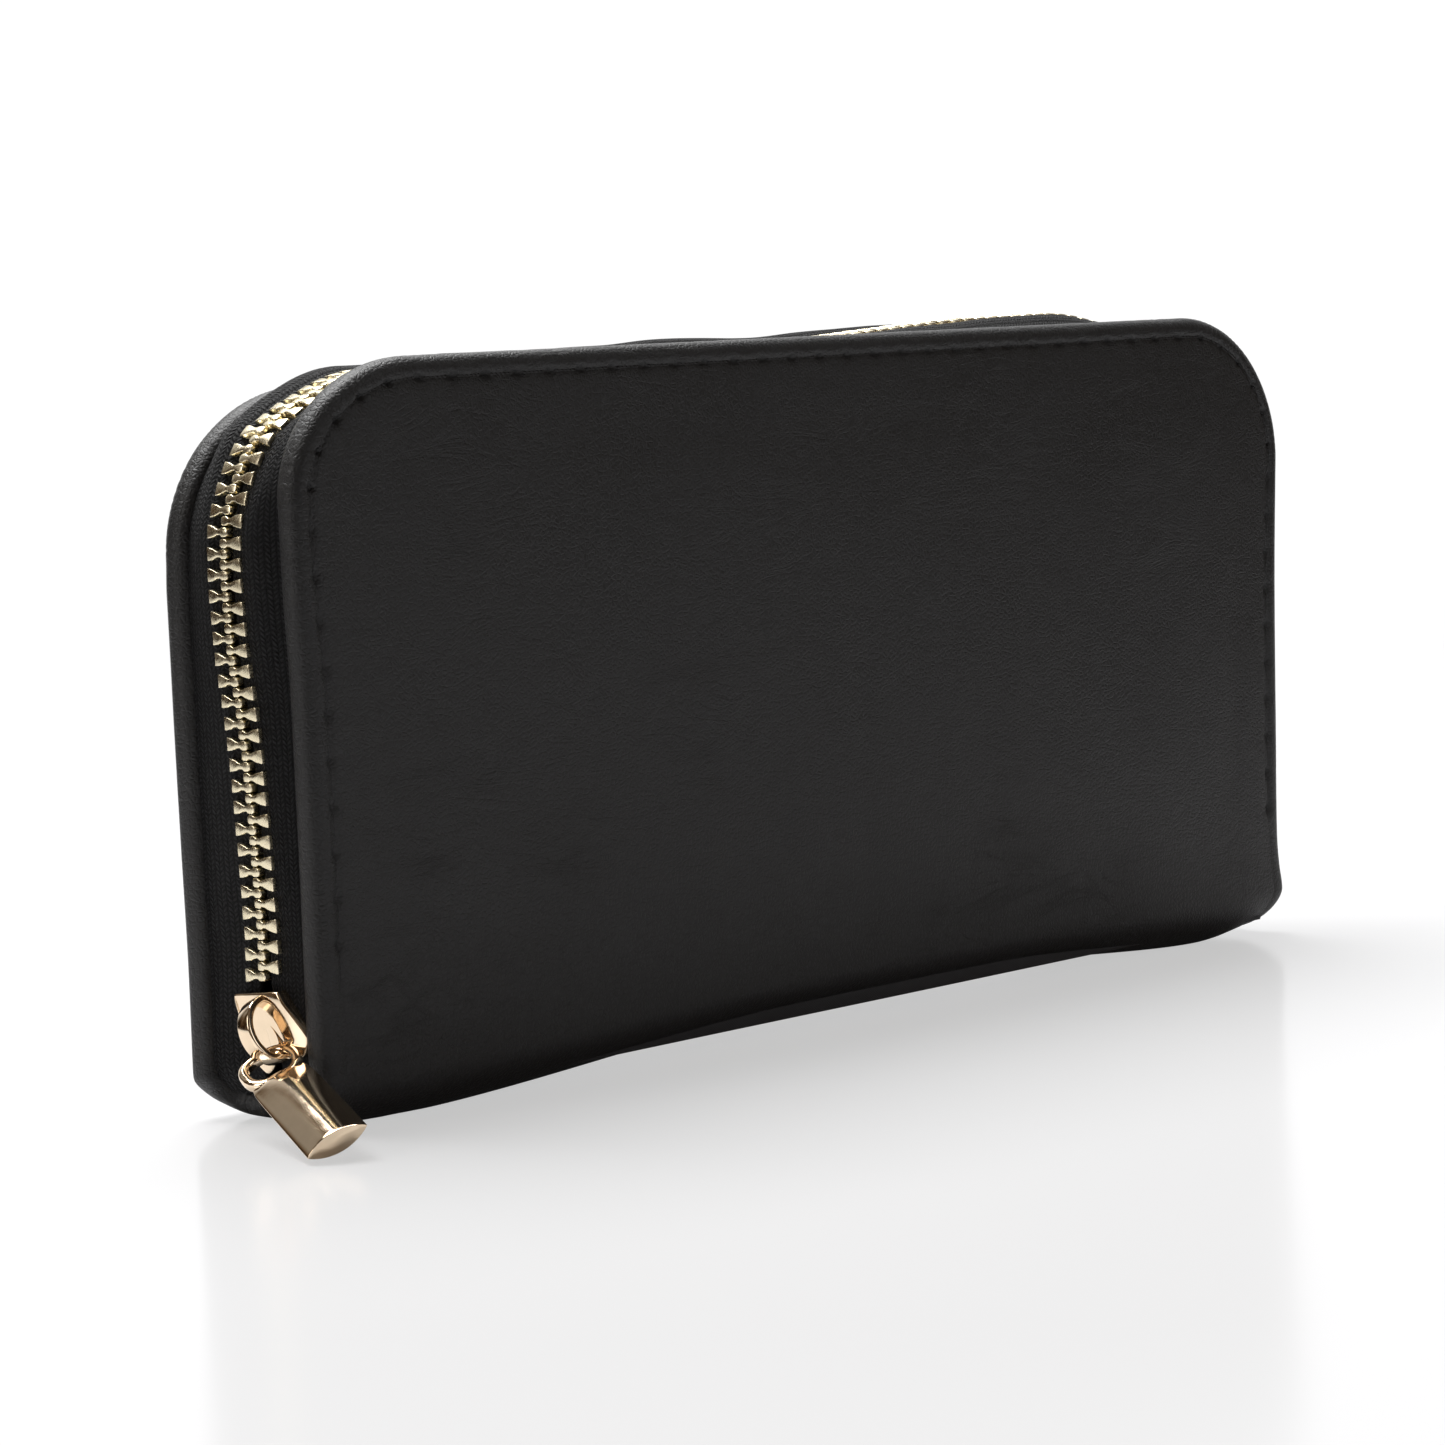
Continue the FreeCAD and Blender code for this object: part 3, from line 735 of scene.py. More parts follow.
for side, body in SIDES[::-1]:
    cover = make_cover(f"{body}_cover_shell", side)
    spine = add_object(f"spine_{body}_half", cover.data.copy())
    keep_beyond(cover, side * SPINE_HALF, side)
    keep_beyond(spine, side * SPINE_HALF, -side)
    for piece in (cover, spine):
        solidify(piece, thickness=0.95, offset=-1.0)
    dress(cover, LEATHER, f"{body}_cover_leather", body)
    dress(spine, LEATHER, "spine_leather")
    bend(spine, side)

# ---------------------------------------------------------------------- zip path
PATH_IN = 0.3  # the zip line runs this far inside the nominal edge
TOP_X, BASE_X = TOP_HALF - PATH_IN, BASE_HALF - PATH_IN
ARC_R = HEIGHT - CORNER_Z - PATH_IN
SIDE_RUN = math.hypot(TOP_X - BASE_X, CORNER_Z)
ARC_RUN = math.pi / 2 * ARC_R
TOP_RUN = 2 * (TOP_X - ARC_R)
TOP_START = SIDE_RUN + ARC_RUN
TOTAL = 2 * TOP_START + TOP_RUN

# (distance along the zip, value) tables
CHAIN_Y = [  # where the chain wanders across the thickness
    (0, -0.9), (17, -1.05), (24, -1.5), (32, -1.45), (44, -1.15), (51, -0.6), (58, 0.15),
    (66, 0.3), (SIDE_RUN, -0.1), (SIDE_RUN + 0.25 * ARC_RUN, -1.0),
    (SIDE_RUN + 0.5 * ARC_RUN, -2.0), (SIDE_RUN + 0.8 * ARC_RUN, -2.8), (TOP_START + 8, -3.0),
    (TOP_START + 35, -1.5), (TOP_START + 0.6 * TOP_RUN, 0.3), (TOP_START + TOP_RUN, 0.2),
    (TOP_START + ARC_RUN + TOP_RUN, 0.0), (TOTAL, 0.0),
]
BULGE = [  # how far the chain stands out of, or sinks into, the edge
    (0, 0.0), (50, 0.0), (SIDE_RUN, -0.1), (SIDE_RUN + 0.2 * ARC_RUN, -0.6),
    (SIDE_RUN + 0.4 * ARC_RUN, -0.9), (SIDE_RUN + 0.5 * ARC_RUN, -1.8),
    (SIDE_RUN + 0.72 * ARC_RUN, -2.7), (TOP_START, -2.6), (TOP_START + 10, -2.1),
    (TOP_START + 17, -1.45), (TOP_START + 28, -2.0), (TOP_START + 70, -1.9),
    (TOP_START + 95, -0.6), (TOP_START + 113, 0.3), (TOP_START + 130, 0.45),
    (TOP_START + 146, -1.7), (TOP_START + 152, -1.5), (TOTAL, 0.0),
]
PUFF = {  # how far each tape swells between the chain and the rolled edge
    1: [
        (0, 0.3), (SIDE_RUN - 20, 0.4), (SIDE_RUN, 0.6), (SIDE_RUN + 0.5 * ARC_RUN, 1.9),
        (TOP_START, 2.0), (TOP_START + 28, 2.2), (TOP_START + 60, 2.2), (TOP_START + 72, 1.75),
        (TOP_START + 95, 1.5), (TOP_START + 130, 0.9), (TOP_START + 150, 0.6), (TOTAL, 0.3),
    ],
    -1: [
        (0, 0.3), (SIDE_RUN - 20, 0.5), (SIDE_RUN, 0.8), (SIDE_RUN + 0.5 * ARC_RUN, 0.2),
        (TOP_START, 0.0), (TOP_START + 28, 0.5), (TOP_START + 60, 0.9), (TOP_START + 72, 0.7),
        (TOP_START + 95, 0.9), (TOP_START + 120, 1.2), (TOP_START + 150, 0.5), (TOTAL, 0.3),
    ],
}


def path(run):
    """x, z and unit direction (dx, dz) of the zip line, from lower left to lower right."""
    near = np.minimum(run, TOTAL - run)  # the right half mirrors the left
    share, angle = near / SIDE_RUN, (near - SIDE_RUN) / ARC_R

    def pick(on_side, on_arc, on_top):
        return np.where(near < SIDE_RUN, on_side, np.where(near < TOP_START, on_arc, on_top))

    x = pick(
        -(BASE_X + (TOP_X - BASE_X) * share),
        -TOP_X + ARC_R - ARC_R * np.cos(angle),
        -TOP_X + ARC_R + near - TOP_START,
    )
    z = pick(CORNER_Z * share, CORNER_Z + ARC_R * np.sin(angle), HEIGHT - PATH_IN)
    dx = pick((BASE_X - TOP_X) / SIDE_RUN, np.sin(angle), 1.0)
    dz = pick(CORNER_Z / SIDE_RUN, np.cos(angle), 0.0)
    mirror = np.where(run > TOTAL / 2, -1, 1)
    return x * mirror, z, dx, dz * mirror


def lip_offset(run, side):
    """Outward distance from the zip line to this cover's outline."""
    edge = outline(side)
    edge_z = height_of(edge[:, 1])
    out = np.zeros(len(run))
    for i, (x, z, dx, dz) in enumerate(zip(*path(run))):
        gap_x, gap_z = edge[:, 0] - x, edge_z - z
        along, outward = gap_x * dx + gap_z * dz, -gap_x * dz + gap_z * dx
        out[i] = outward[np.where(np.abs(outward) < 8, np.abs(along), 1e9).argmin()]
    return np.convolve(np.pad(out, 4, mode="edge"), np.ones(9) / 9, mode="valid")


def chain_frames(run):
    """Points of the chain middle, and its directions along and outwards."""
    x, z, dx, dz = path(run)
    bulge = curve(BULGE, run)
    points = np.stack([x - dz * bulge, curve(CHAIN_Y, run), z + dx * bulge], -1)
    slope = np.gradient(bulge, run)
    along = unit_rows(np.stack([dx - dz * slope, 0 * dx, dz + dx * slope], -1))
    outward = np.stack([-along[:, 2], 0 * dx, along[:, 0]], -1)
    return points, along, outward


# --------------------------------------------------------------------- zip tapes
TAPE_LIP = 8.35  # y of the seam under the rolled edge
TAPE_INNER = 0.92  # tape edge beside the teeth, from the chain middle
TAPE_HALF = 0.28  # half thickness
TAPE_END = 3.4  # free run at each end of the zip


def make_tape(side, body):
    run = np.concatenate([
        np.linspace(TAPE_END, 18, 50), np.linspace(18, TOTAL - TAPE_END, 620)[1:]
    ])
    x, z, dx, dz = path(run)
    bulge, puff, lip = curve(BULGE, run), curve(PUFF[side], run), lip_offset(run, side)
    # the slider spreads the tapes at the left end
    spread = 0.9 * (1 - smooth(9, 19, run)) * smooth(1, 7, run)
    inner = curve(CHAIN_Y, run) + side * (TAPE_INNER + spread)
    top, bottom, uvs = [], [], []
    for share in np.linspace(0, 1, 21):
        y = inner + (side * TAPE_LIP - inner) * share
        # flat beside the teeth, swelling, then down to the seam under the roll
        fall = float(smooth(0.16, 1.0, share))
        swell = math.sin(math.pi * min(max((share - 0.12) / 0.88, 0.0), 1.0)) ** 1.2
        ripple = 0.10 * np.sin(run / 5.1 + 2.0 * share) + 0.05 * np.sin(run / 2.3 + 3 * share)
        offset = 0.02 + bulge * (1 - fall) + (lip - 1.55) * fall
        offset = offset + puff * swell + ripple * math.sin(math.pi * share)
        # the lower left end folds inwards behind the covers
        offset = offset - 1.6 * (1 - smooth(3, 9, run)) ** 2
        for rows, half in ((top, TAPE_HALF), (bottom, -TAPE_HALF)):
            rows.append(np.stack([x - dz * (offset + half), y, z + dx * (offset + half)], -1))
        uvs.append(np.column_stack((run, side * share * (TAPE_LIP - 1.0) + 0 * run)))
    ring, cols = top + bottom[::-1], len(run)
    faces = grid_faces(len(ring), cols, wrap_rows=True)
    faces.append(tuple(row * cols for row in range(len(ring))))
    faces.append(tuple(row * cols + cols - 1 for row in range(len(ring)))[::-1])
    uv = np.concatenate(uvs + uvs[::-1])
    piece = make_mesh(f"{body}_zip_tape_knit", np.concatenate(ring), faces, uv)
    with editing(piece.data) as edit:
        bmesh.ops.recalc_face_normals(edit, faces=edit.faces)
    dress(piece, TAPE, f"{body}_zip_tape", body)


for side, body in SIDES:
    make_tape(side, body)

# ------------------------------------------------------------------------- teeth
TOOTH_PITCH, FIRST_TOOTH = 2.54, 18.4
TOOTH_COUNT = int((TOTAL - FIRST_TOOTH - 10.0) / TOOTH_PITCH)
# half of a tooth: along the chain, across it
TOOTH_HALF = [
    (0.86, 3.05), (0.74, 2.3), (0.58, 1.7), (0.36, 1.2), (0.33, 0.65), (0.56, 0.3),
    (0.56, -0.35), (0.34, -0.68),
]


def one_tooth(side):
    """Vertices and faces of a tooth for the row on this side."""
    points = TOOTH_HALF + [(-x, y) for x, y in reversed(TOOTH_HALF)]
    points = [(x, side * y) for x, y in points][::side]
    tooth = prism("tooth", points, low=-1.05, high=1.12, bevel=0.11)
    verts = coords_mm(tooth)
    faces = [tuple(face.vertices) for face in tooth.data.polygons]
    bpy.data.objects.remove(tooth)
    # the outer face is rounded over, as a stamped and tumbled tooth is
    outer = verts[:, 2] > 0
    from_crest = np.abs(verts[outer, 1] - side * 1.1)
    verts[outer, 2] -= 0.10 * np.clip((from_crest - 0.6) / 1.2, 0, 1) ** 2
    return verts, faces


def copied(faces, copy, count):
    """Faces of the given copy of a shape with count vertices."""
    return [tuple(i + copy * count for i in face) for face in faces]


for side, body in SIDES:
    tooth, tooth_faces = one_tooth(side)
    run = FIRST_TOOTH + np.arange(TOOTH_COUNT) * TOOTH_PITCH
    run = run + (0.0 if side > 0 else TOOTH_PITCH / 2)
    verts, faces = [], []
    for i, (point, along, outward) in enumerate(zip(*chain_frames(run))):
        twist = RNG.normal(0, 0.018)
        cos, sin = math.cos(twist), math.sin(twist)
        run_part = tooth[:, :1] * cos - tooth[:, 1:2] * sin
        cross_part = tooth[:, :1] * sin + tooth[:, 1:2] * cos
        out_part = tooth[:, 2:3] + RNG.normal(0, 0.025)
        across = np.array([0, 1.0, 0])
        verts.append(point + run_part * along + cross_part * across + out_part * outward)
        faces += copied(tooth_faces, i, len(tooth))
    row = fix_normals(make_mesh(f"{body}_zip_teeth_row", np.concatenate(verts), faces))
    dress(row, TEETH_GOLD, f"{body}_zip_teeth", body)

# ------------------------------------------------------------------------ slider
# the slider's own axes are along the chain, across it and outwards
SLIDER = placement(
    origin=Vector((-92.5554, -2.6806, 12.4847)),
    along=Vector((-0.139173, 0.370961, 0.918161)),
    across=Vector((0.0, 0.927184, -0.374606)),
    out=Vector((-0.990268, -0.052135, -0.129039)),
)
# half outlines, along and across
OUTER_PLATE = [
    (4.8, 3.5), (4.55, 3.85), (1.6, 4.4), (-1.8, 5.2), (-3.1, 5.25), (-4.5, 4.1),
    (-4.8, 3.2), (-4.15, 1.3), (-3.6, 0.0),
]
INNER_PLATE = [
    (4.8, 3.2), (4.55, 3.45), (1.6, 3.8), (-1.8, 4.1), (-3.1, 4.1), (-4.6, 3.5),
    (-4.8, 3.0), (-4.15, 1.3), (-3.6, 0.0),
]
OUTER_RIM = [
    (4.6, 2.9), (4.6, 3.75), (1.6, 4.3), (-1.8, 5.05), (-3.3, 5.1), (-3.3, 4.3),
    (-1.8, 4.3), (1.4, 3.6),
]
INNER_RIM = [
    (4.6, 2.7), (4.6, 3.35), (1.6, 3.7), (-1.8, 4.0), (-3.3, 4.0), (-3.3, 3.2),
    (-1.8, 3.2), (1.4, 2.9),
]
POST = [(-3.4, 0.0), (-2.0, 1.15), (1.2, 0.35), (1.2, -0.35), (-2.0, -1.15)]


def rounded(points, steps):
    """Softens the corners of a closed outline by corner cutting, and reverses it."""
    points = np.asarray(points, float)
    for _ in range(steps):
        after = np.roll(points, -1, 0)
        cut = (0.78 * points + 0.22 * after, 0.22 * points + 0.78 * after)
        points = np.stack(cut, 1).reshape(-1, 2)
    return points[::-1]


def mirrored(half):
    """Whole outline from its half; points on the centre line aren't doubled."""
    return half + [(x, -y) for x, y in reversed(half) if abs(y) > 1e-9]


def slider_mesh(name):
    parts = [
        prism(name, rounded(mirrored(OUTER_PLATE), 2), 1.5, 2.35, bevel=0.24, segments=4),
        prism("plate", rounded(mirrored(INNER_PLATE), 2), -2.3, -1.5, bevel=0.2, segments=3),
    ]
    for sign in (1, -1):
        for rim, low, high in ((OUTER_RIM, 0.5, 1.75), (INNER_RIM, -1.75, -0.5)):
            points = [(x, sign * y) for x, y in rim][::sign]
            parts.append(prism("rim", rounded(points, 1), low, high, bevel=0.14))
    parts.append(prism("post", POST, -1.9, 1.9, bevel=0.1))
    piece = join(name, parts)
    # the outer plate is slightly domed and its top edge turns in
    verts = coords_mm(piece)
    outer = verts[:, 2] > 1.45
    x, wide = verts[outer, 0], (verts[outer, 1] / 5.3) ** 2
    verts[outer, 2] += 0.75 * (1 - wide) - 0.35 + 0.22 * np.sin((x + 1.5) / 1.9) * wide
    verts[outer, 2] -= 0.18 * smooth(3.6, 4.8, x)
    # the mouth end is cut square to the chain, which the body crosses askew
    verts[:, 0] += 0.30 * verts[:, 1] * smooth(0.2, 4.8, verts[:, 0])
    piece.data.vertices.foreach_set("co", (verts * MM).ravel())
    return piece


def bridge_mesh(name):
    """Flat strip with rounded edges bent into a half ellipse over the slider."""
    half_length, rise, base = 3.75, 3.5, 2.3
    half_width, half_thick, round_r = 2.35 / 2, 0.85 / 2, 0.24
    in_x, in_y = half_width - round_r, half_thick - round_r
    section = []
    for x0, y0, start in ((in_x, in_y, 0), (-in_x, in_y, 90), (-in_x, -in_y, 180),
                          (in_x, -in_y, 270)):
        for k in range(5):
            angle = math.radians(start + 90 * k / 4)
            x, y = x0 + round_r * math.cos(angle), y0 + round_r * math.sin(angle)
            # faintly crowned across its width
            section.append((x, y + (0.10 * (1 - (x / half_width) ** 2) if y > 0 else 0)))
    verts = []
    stations = np.linspace(-0.14, math.pi + 0.14, 64)
    for angle in stations:
        cos, sin = math.cos(angle), math.sin(angle)
        center = np.array([half_length * cos, 0, base + rise * sin])
        normal = unit_rows(np.array([cos / half_length, 0, sin / rise]))
        flare = 1 + 0.10 * (1 - abs(sin)) ** 2
        verts += [center + np.array([0, x * flare, 0]) + normal * y for x, y in section]
    return fix_normals(make_mesh(name, verts, tube_faces(len(stations), len(section))))


def place_metal(piece, matrix, body, node, crease):
    """Sets a gold part in place, with edges sharper than crease degrees kept sharp."""
    piece.data.transform(matrix)
    with editing(piece.data) as edit:
        for edge in edit.edges:
            if len(edge.link_faces) == 2 and edge.calc_face_angle(0) > math.radians(crease):
                edge.smooth = False
    dress(piece, GOLD, node, body)


place_metal(slider_mesh("slider_body_cast"), SLIDER, "slider", "zip_slider_body", crease=38)
place_metal(bridge_mesh("slider_bridge_strip"), SLIDER, "slider", "zip_slider_bridge", crease=50)


# ------------------------------------------------------------------------ puller
def signed_power(value, power):
    return math.copysign(abs(value) ** power, value)


def ring_mesh(name):
    """Rounded loop in the x-y plane, a little longer towards +x."""
    half_y, back_x, front_x = 3.25, 2.95, 3.3
    half_width, half_thick = 1.3 / 2, 1.5 / 2
    loop_power, section_power = 2 / 2.5, 0.75
    steps, section = 96, 20
    verts = []
    for i in range(steps):
        angle = 2 * math.pi * i / steps
        cos, sin = math.cos(angle), math.sin(angle)
        half_x = front_x if cos > 0 else back_x
        x0, y0 = half_x * signed_power(cos, loop_power), half_y * signed_power(sin, loop_power)
        size = math.hypot(cos / half_x, sin / half_y)
        normal_x, normal_y = cos / half_x / size, sin / half_y / size
        for k in range(section):
            turn = 2 * math.pi * k / section
            reach = signed_power(math.cos(turn), section_power) * half_width
            z = signed_power(math.sin(turn), section_power) * half_thick
            verts.append((x0 + normal_x * reach, y0 + normal_y * reach, z))
    faces = grid_faces(steps, section, wrap_rows=True, wrap_cols=True)
    return fix_normals(make_mesh(name, verts, faces))


def puller_mesh(name):
    """Pillow-section bar widening towards a flat cut end, with a ring at its root."""
    x = np.concatenate([np.linspace(2.7, 20.70, 44), [20.80, 20.87, 20.9]])
    widths = curve([(2.7, 3.5), (4.2, 3.75), (8.55, 3.86), (14, 3.9), (20.9, 3.95)], x)
    heights = curve([(2.7, 0.72), (3.6, 1.0), (8.55, 1.3), (20.9, 1.5)], x)
    for sizes in (widths, heights):
        sizes[-3:] -= [0.012, 0.04, 0.10]  # rounding of the cut end
    upper = [
        (y, 0.90 * (1 - y * y) + 0.10 * math.sqrt(max(0.0, 1 - y**8)))
        for y in np.cos(np.linspace(0, math.pi, 40))
    ]
    section = upper + [(y, -z) for y, z in upper[-2:0:-1]]
    verts = [
        (station, y * width, z * height)
        for station, width, height in zip(x, widths, heights) for y, z in section
    ]
    bar = fix_normals(make_mesh(name, verts, tube_faces(len(x), len(section))))
    ring = ring_mesh("ring")
    union = bar.modifiers.new("bool", "BOOLEAN")
    union.operation = "UNION"
    union.solver = "EXACT"
    union.object = ring
    apply_modifiers(bar)
    bpy.data.objects.remove(ring)
    return bar


# lies at the foot of the bridge, resting on the front cover's rolled edge
pull_along = Vector((-6.5, -19.3, -6.0)).normalized()
pull_across = Vector((0.842765, -0.339385, 0.417811))
pull_across = (pull_across - pull_along * pull_across.dot(pull_along)).normalized()
PULLER = placement(
    Vector((-97.45, -5.75, 8.25)), pull_along, pull_across, pull_along.cross(pull_across)
)
place_metal(puller_mesh("puller_polished"), PULLER, "puller", "zip_puller", crease=40)


# --------------------------------------------------------------------- stitching
def capsule(length, radius, around=8):
    """Thread bead along x whose two ends dip."""
    cap = radius * (1 - np.cos(np.linspace(0, np.pi / 2, 4)))
    stations = np.concatenate([cap - length / 2, length / 2 - cap[::-1]])
    verts = []
    for x in stations:
        past = max(0.0, abs(x) - (length / 2 - radius)) / radius
        size = radius * math.sqrt(max(0.02, 1 - past * past))
        sag = -0.22 * (2 * x / length) ** 4
        for k in range(around):
            angle = 2 * math.pi * k / around
            verts.append((x, size * math.cos(angle), size * 0.8 * math.sin(angle) + sag))
    return np.array(verts), tube_faces(len(stations), around)


def make_stitches(side, body):
    edge = outline(side)
    inward, along = directions(edge)
    run = arc_length(edge)
    seam = edge + inward * groove_inset(edge)[:, None]
    bead, bead_faces = capsule(length=3.95, radius=0.27)
    verts, faces = [], []
    for i in range(int(run[-1] / STITCH)):
        middle = (i + 0.5) * STITCH
        if np.interp(middle, run, edge[:, 1]) > STITCH_END:
            continue
        center = [np.interp(middle, run, column) for column in seam.T]
        step = unit_rows(np.array([np.interp(middle, run, column) for column in along.T]))
        tilt = RNG.normal(0, 0.02)
        cos, sin = math.cos(tilt), math.sin(tilt)
        step_x, step_down = step[0] * cos - step[1] * sin, step[0] * sin + step[1] * cos
        x = center[0] + bead[:, 0] * step_x - bead[:, 1] * step_down
        down = center[1] + bead[:, 0] * step_down + bead[:, 1] * step_x
        depth = 0.33 + 0.035 * math.sin(middle / 9.7) - bead[:, 2]
        faces += copied(bead_faces, len(verts), len(bead))
        verts.append(sheet_point(side, x, down, depth))
    piece = fix_normals(make_mesh(f"{body}_edge_thread", np.concatenate(verts), faces))
    dress(piece, THREAD, f"{body}_stitching", body)


for side, body in SIDES:
    make_stitches(side, body)


# ----------------------------------------------------------------------- insides
def finish_sheet(piece, thickness, bevel, material, node, body=None):
    solidify(piece, thickness, bevel)
    shade_smooth(piece.data)
    dress(piece, material, node, body)


def upright_mesh(name, rows):
    """Sheet from rows of (x, y, z) points; UVs are x and z."""
    verts = np.concatenate(rows)
    return make_mesh(name, verts, grid_faces(len(rows), len(rows[0])), verts[:, [0, 2]])


def cover_sheet(name, side, inset, depth, low):
    """Sheet that follows the cover's own outline, depth from the middle plane."""
    edge = outline(side)
    rim = (edge + directions(edge)[0] * inset)[N_SIDE:N_SIDE + 2 * N_ARC + N_TOP]
    rim = rim[np.argsort(rim[:, 0])]
    rim_x, rim_z = rim[:, 0], HEIGHT - rim[:, 1]
    share = (np.sin(np.linspace(-1, 1, 120) * math.pi / 2) + 1) / 2
    top_x = rim_x[0] + (rim_x[-1] - rim_x[0]) * share
    top = np.interp(top_x, rim_x, rim_z)
    rows = []
    for j in range(56):
        z = low + (top - low) * (j / 55)
        left = -curve(LEFT[side], z) + inset
        right = curve(RIGHT[side], z) - inset
        in_corner = smooth(66.0, 72.0, z)
        x = (left + (right - left) * share) * (1 - in_corner) + top_x * in_corner
        y = depth + 0.04 * np.sin(x / 13.0 + z / 9.0)
        rows.append(np.stack([x, side * y, z], -1))
    return upright_mesh(name, rows)


NOTCH_X, NOTCH_R, NOTCH_RISE = 44.0, 16.0, 13.0  # thumb notches: place, radius, centre height


def flat_sheet(name, side, half, low, high, depth, notched=False, bow=0.0, rows=30, radius=2.5):
    """Rectangular leaf: rounded top corners, thumb notches where asked, slight bow."""
    x = np.linspace(-half, half, 110)
    top = np.full(len(x), high, float)
    if notched:
        width = np.abs(x) - NOTCH_X
        bite = np.sqrt(np.clip(NOTCH_R**2 - width**2, 0, None))
        top = np.minimum(top, high + NOTCH_RISE - bite)
    past = np.maximum(radius - (half - np.abs(x)), 0)
    top -= radius - np.sqrt(np.clip(radius**2 - past**2, 0, None))
    grid = []
    for j in range(rows):
        share = j / (rows - 1)
        y = depth + bow * (1 - (x / half) ** 2) * math.sin(math.pi * share)
        y = y + 0.03 * np.sin(x / 11.0 + 1.3 * j / rows) * share
        grid.append(np.stack([x, side * y, low + (top - low) * share], -1))
    return upright_mesh(name, grid)


CARD_HALF = 87.0
TIERS = ((1, 45.0, 75.0), (2, 35.0, 65.0), (3, 25.0, 55.0), (4, 9.0, 45.0))  # number, low, high
for side, body in SIDES:
    finish_sheet(
        cover_sheet(f"{body}_stiff_board", side, inset=3.6, depth=10.72, low=6.0),
        0.62, 0.1, BOARD, f"{body}_cover_board", body,
    )
    finish_sheet(
        cover_sheet(f"{body}_lining_cloth", side, inset=3.3, depth=10.2, low=2.2),
        0.36, 0.08, LINING, f"{body}_lining", body,
    )
    finish_sheet(
        flat_sheet(f"{body}_card_backing", side, CARD_HALF, 9.0, 82.0, depth=9.75, radius=5.0),
        0.44, 0.1, LINING, f"{body}_card_panel", body,
    )
    for i, low, high in TIERS:
        depth = 9.5 - 0.35 * i + 0.175
        name = f"{body}_card_tier_leaf_{i}"
        finish_sheet(
            flat_sheet(name, side, CARD_HALF, low, high, depth, notched=True),
            0.29, 0.09, CARD_LEATHER, f"{body}_card_tier_{i}", body,
        )

# ----------------------------------------------------------------------- gussets
GUSSET_X = 89.0
# section from the cover edge in to the fold and back out to the pocket edge: x, y
BELLOWS = [
    (GUSSET_X, 7.75), (86.0, 7.35), (82.5, 6.9), (79.4, 6.45), (77.7, 6.1), (77.3, 5.8),
    (77.7, 5.5), (79.2, 4.95), (80.9, 4.25), (82.3, 3.82), (83.6, 3.74), (86.2, 3.74),
    (GUSSET_X, 3.74),
]


def gusset(name, side, end):
    """Bellows leaf at one end, its fold dipping at the top."""
    def point(share, section):
        x, y = section
        z = 10.0 + 66.0 * share
        inner = (GUSSET_X - x) / 12.0
        wobble = 0.10 * math.sin(z / 6.0 + x) * inner
        return end * (x + wobble), side * y, z - 2.2 * smooth(0.86, 1.0, share) * inner

    return grid_mesh(name, [j / 43 for j in range(44)], BELLOWS, point)


for side, body in SIDES:
    for end, tag in ((-1, "left"), (1, "right")):
        piece = gusset(f"{body}_{tag}_bellows", side, end)
        finish_sheet(piece, 0.36, 0.08, GUSSET, f"{body}_{tag}_gusset")
        bend(piece, side)

# ------------------------------------------------------- coin pocket in the middle
POCKET_Y = [-2.95 + 6.1 * k / 8 for k in range(9)]  # stations across floor and ends


def pocket_floor():
    def point(x, y):
        return x, y, 9.22 + 0.10 * math.cos(y) * math.sin(x / 9)

    return grid_mesh("floor", np.linspace(-83.8, 83.8, 90), POCKET_Y, point)


def pocket_end(end):
    def point(z, k):
        return end * (83.72 - 0.25 * math.sin(math.pi * k / 8)), POCKET_Y[k], z

    return grid_mesh("end", np.linspace(9.3, 76.2, 40), range(9), point)


def pocket_leaf(name, side):
    """Leaf with a turned-in hem at the zip; the back one also carries bottom and ends."""
    leaf = flat_sheet(name, side, 83.9, 9.25, 76.7, depth=3.26, bow=0.12, rows=44, radius=0.4)
    parts = [solidify(leaf, 0.38, 0.09, quality=False)]
    hem = flat_sheet("hem", side, 83.6, 74.2, 76.75, depth=3.36, rows=5, radius=0.3)
    parts.append(solidify(hem, 0.24, 0.08, quality=False))
    if side > 0:
        parts.append(solidify(pocket_floor(), 0.38, 0.08, quality=False))
        parts += [solidify(pocket_end(end), 0.34, 0.08, quality=False) for end in (-1, 1)]
    return join(name, parts)


def coin_tape(name, side):
    """Flat tape from beside the coin zip's chain out to the pocket leaf."""
    def point(x, k):
        return x, side * (0.78 + (3.5 - 0.78) * k / 8), 77.0 - 0.12 * (k / 8) ** 2

    tape = grid_mesh(name, np.linspace(-83.0, 83.0, 220), range(9), point, with_uv=True)
    return solidify(tape, 0.42, 0.1, quality=False)


for side, body in SIDES:
    leaf = pocket_leaf(f"coin_leaf_{body}", side)
    tape = coin_tape(f"coin_tape_{body}", side)
    shade_smooth(leaf.data)
    shade_smooth(tape.data)
    dress(leaf, CARD_LEATHER, f"coin_pocket_{body}_leaf", "divider")
    dress(tape, COIN_TAPE, f"coin_zip_{body}_tape", "divider")


# ------------------------------------- lining of the spine, in two halves
def spine_lining(name, side):
    def point(x, k):
        y = 5.2 * k / 10
        return x, side * y, 1.25 + 0.55 * smooth(3.4, 5.2, y) + lift(x)

    return grid_mesh(name, np.linspace(-88.0, 88.0, 120), range(11), point, with_uv=True)


for side, body in SIDES:
    piece = spine_lining(f"spine_lining_{body}_half", side)
    finish_sheet(piece, 0.3, 0.06, LINING, "spine_lining")
    bend(piece, side)

# CAD pieces still shown are gold
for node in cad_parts.values():
    if not node.hide_render:
        node.data.materials.clear()
        node.data.materials.append(COIN_GOLD)


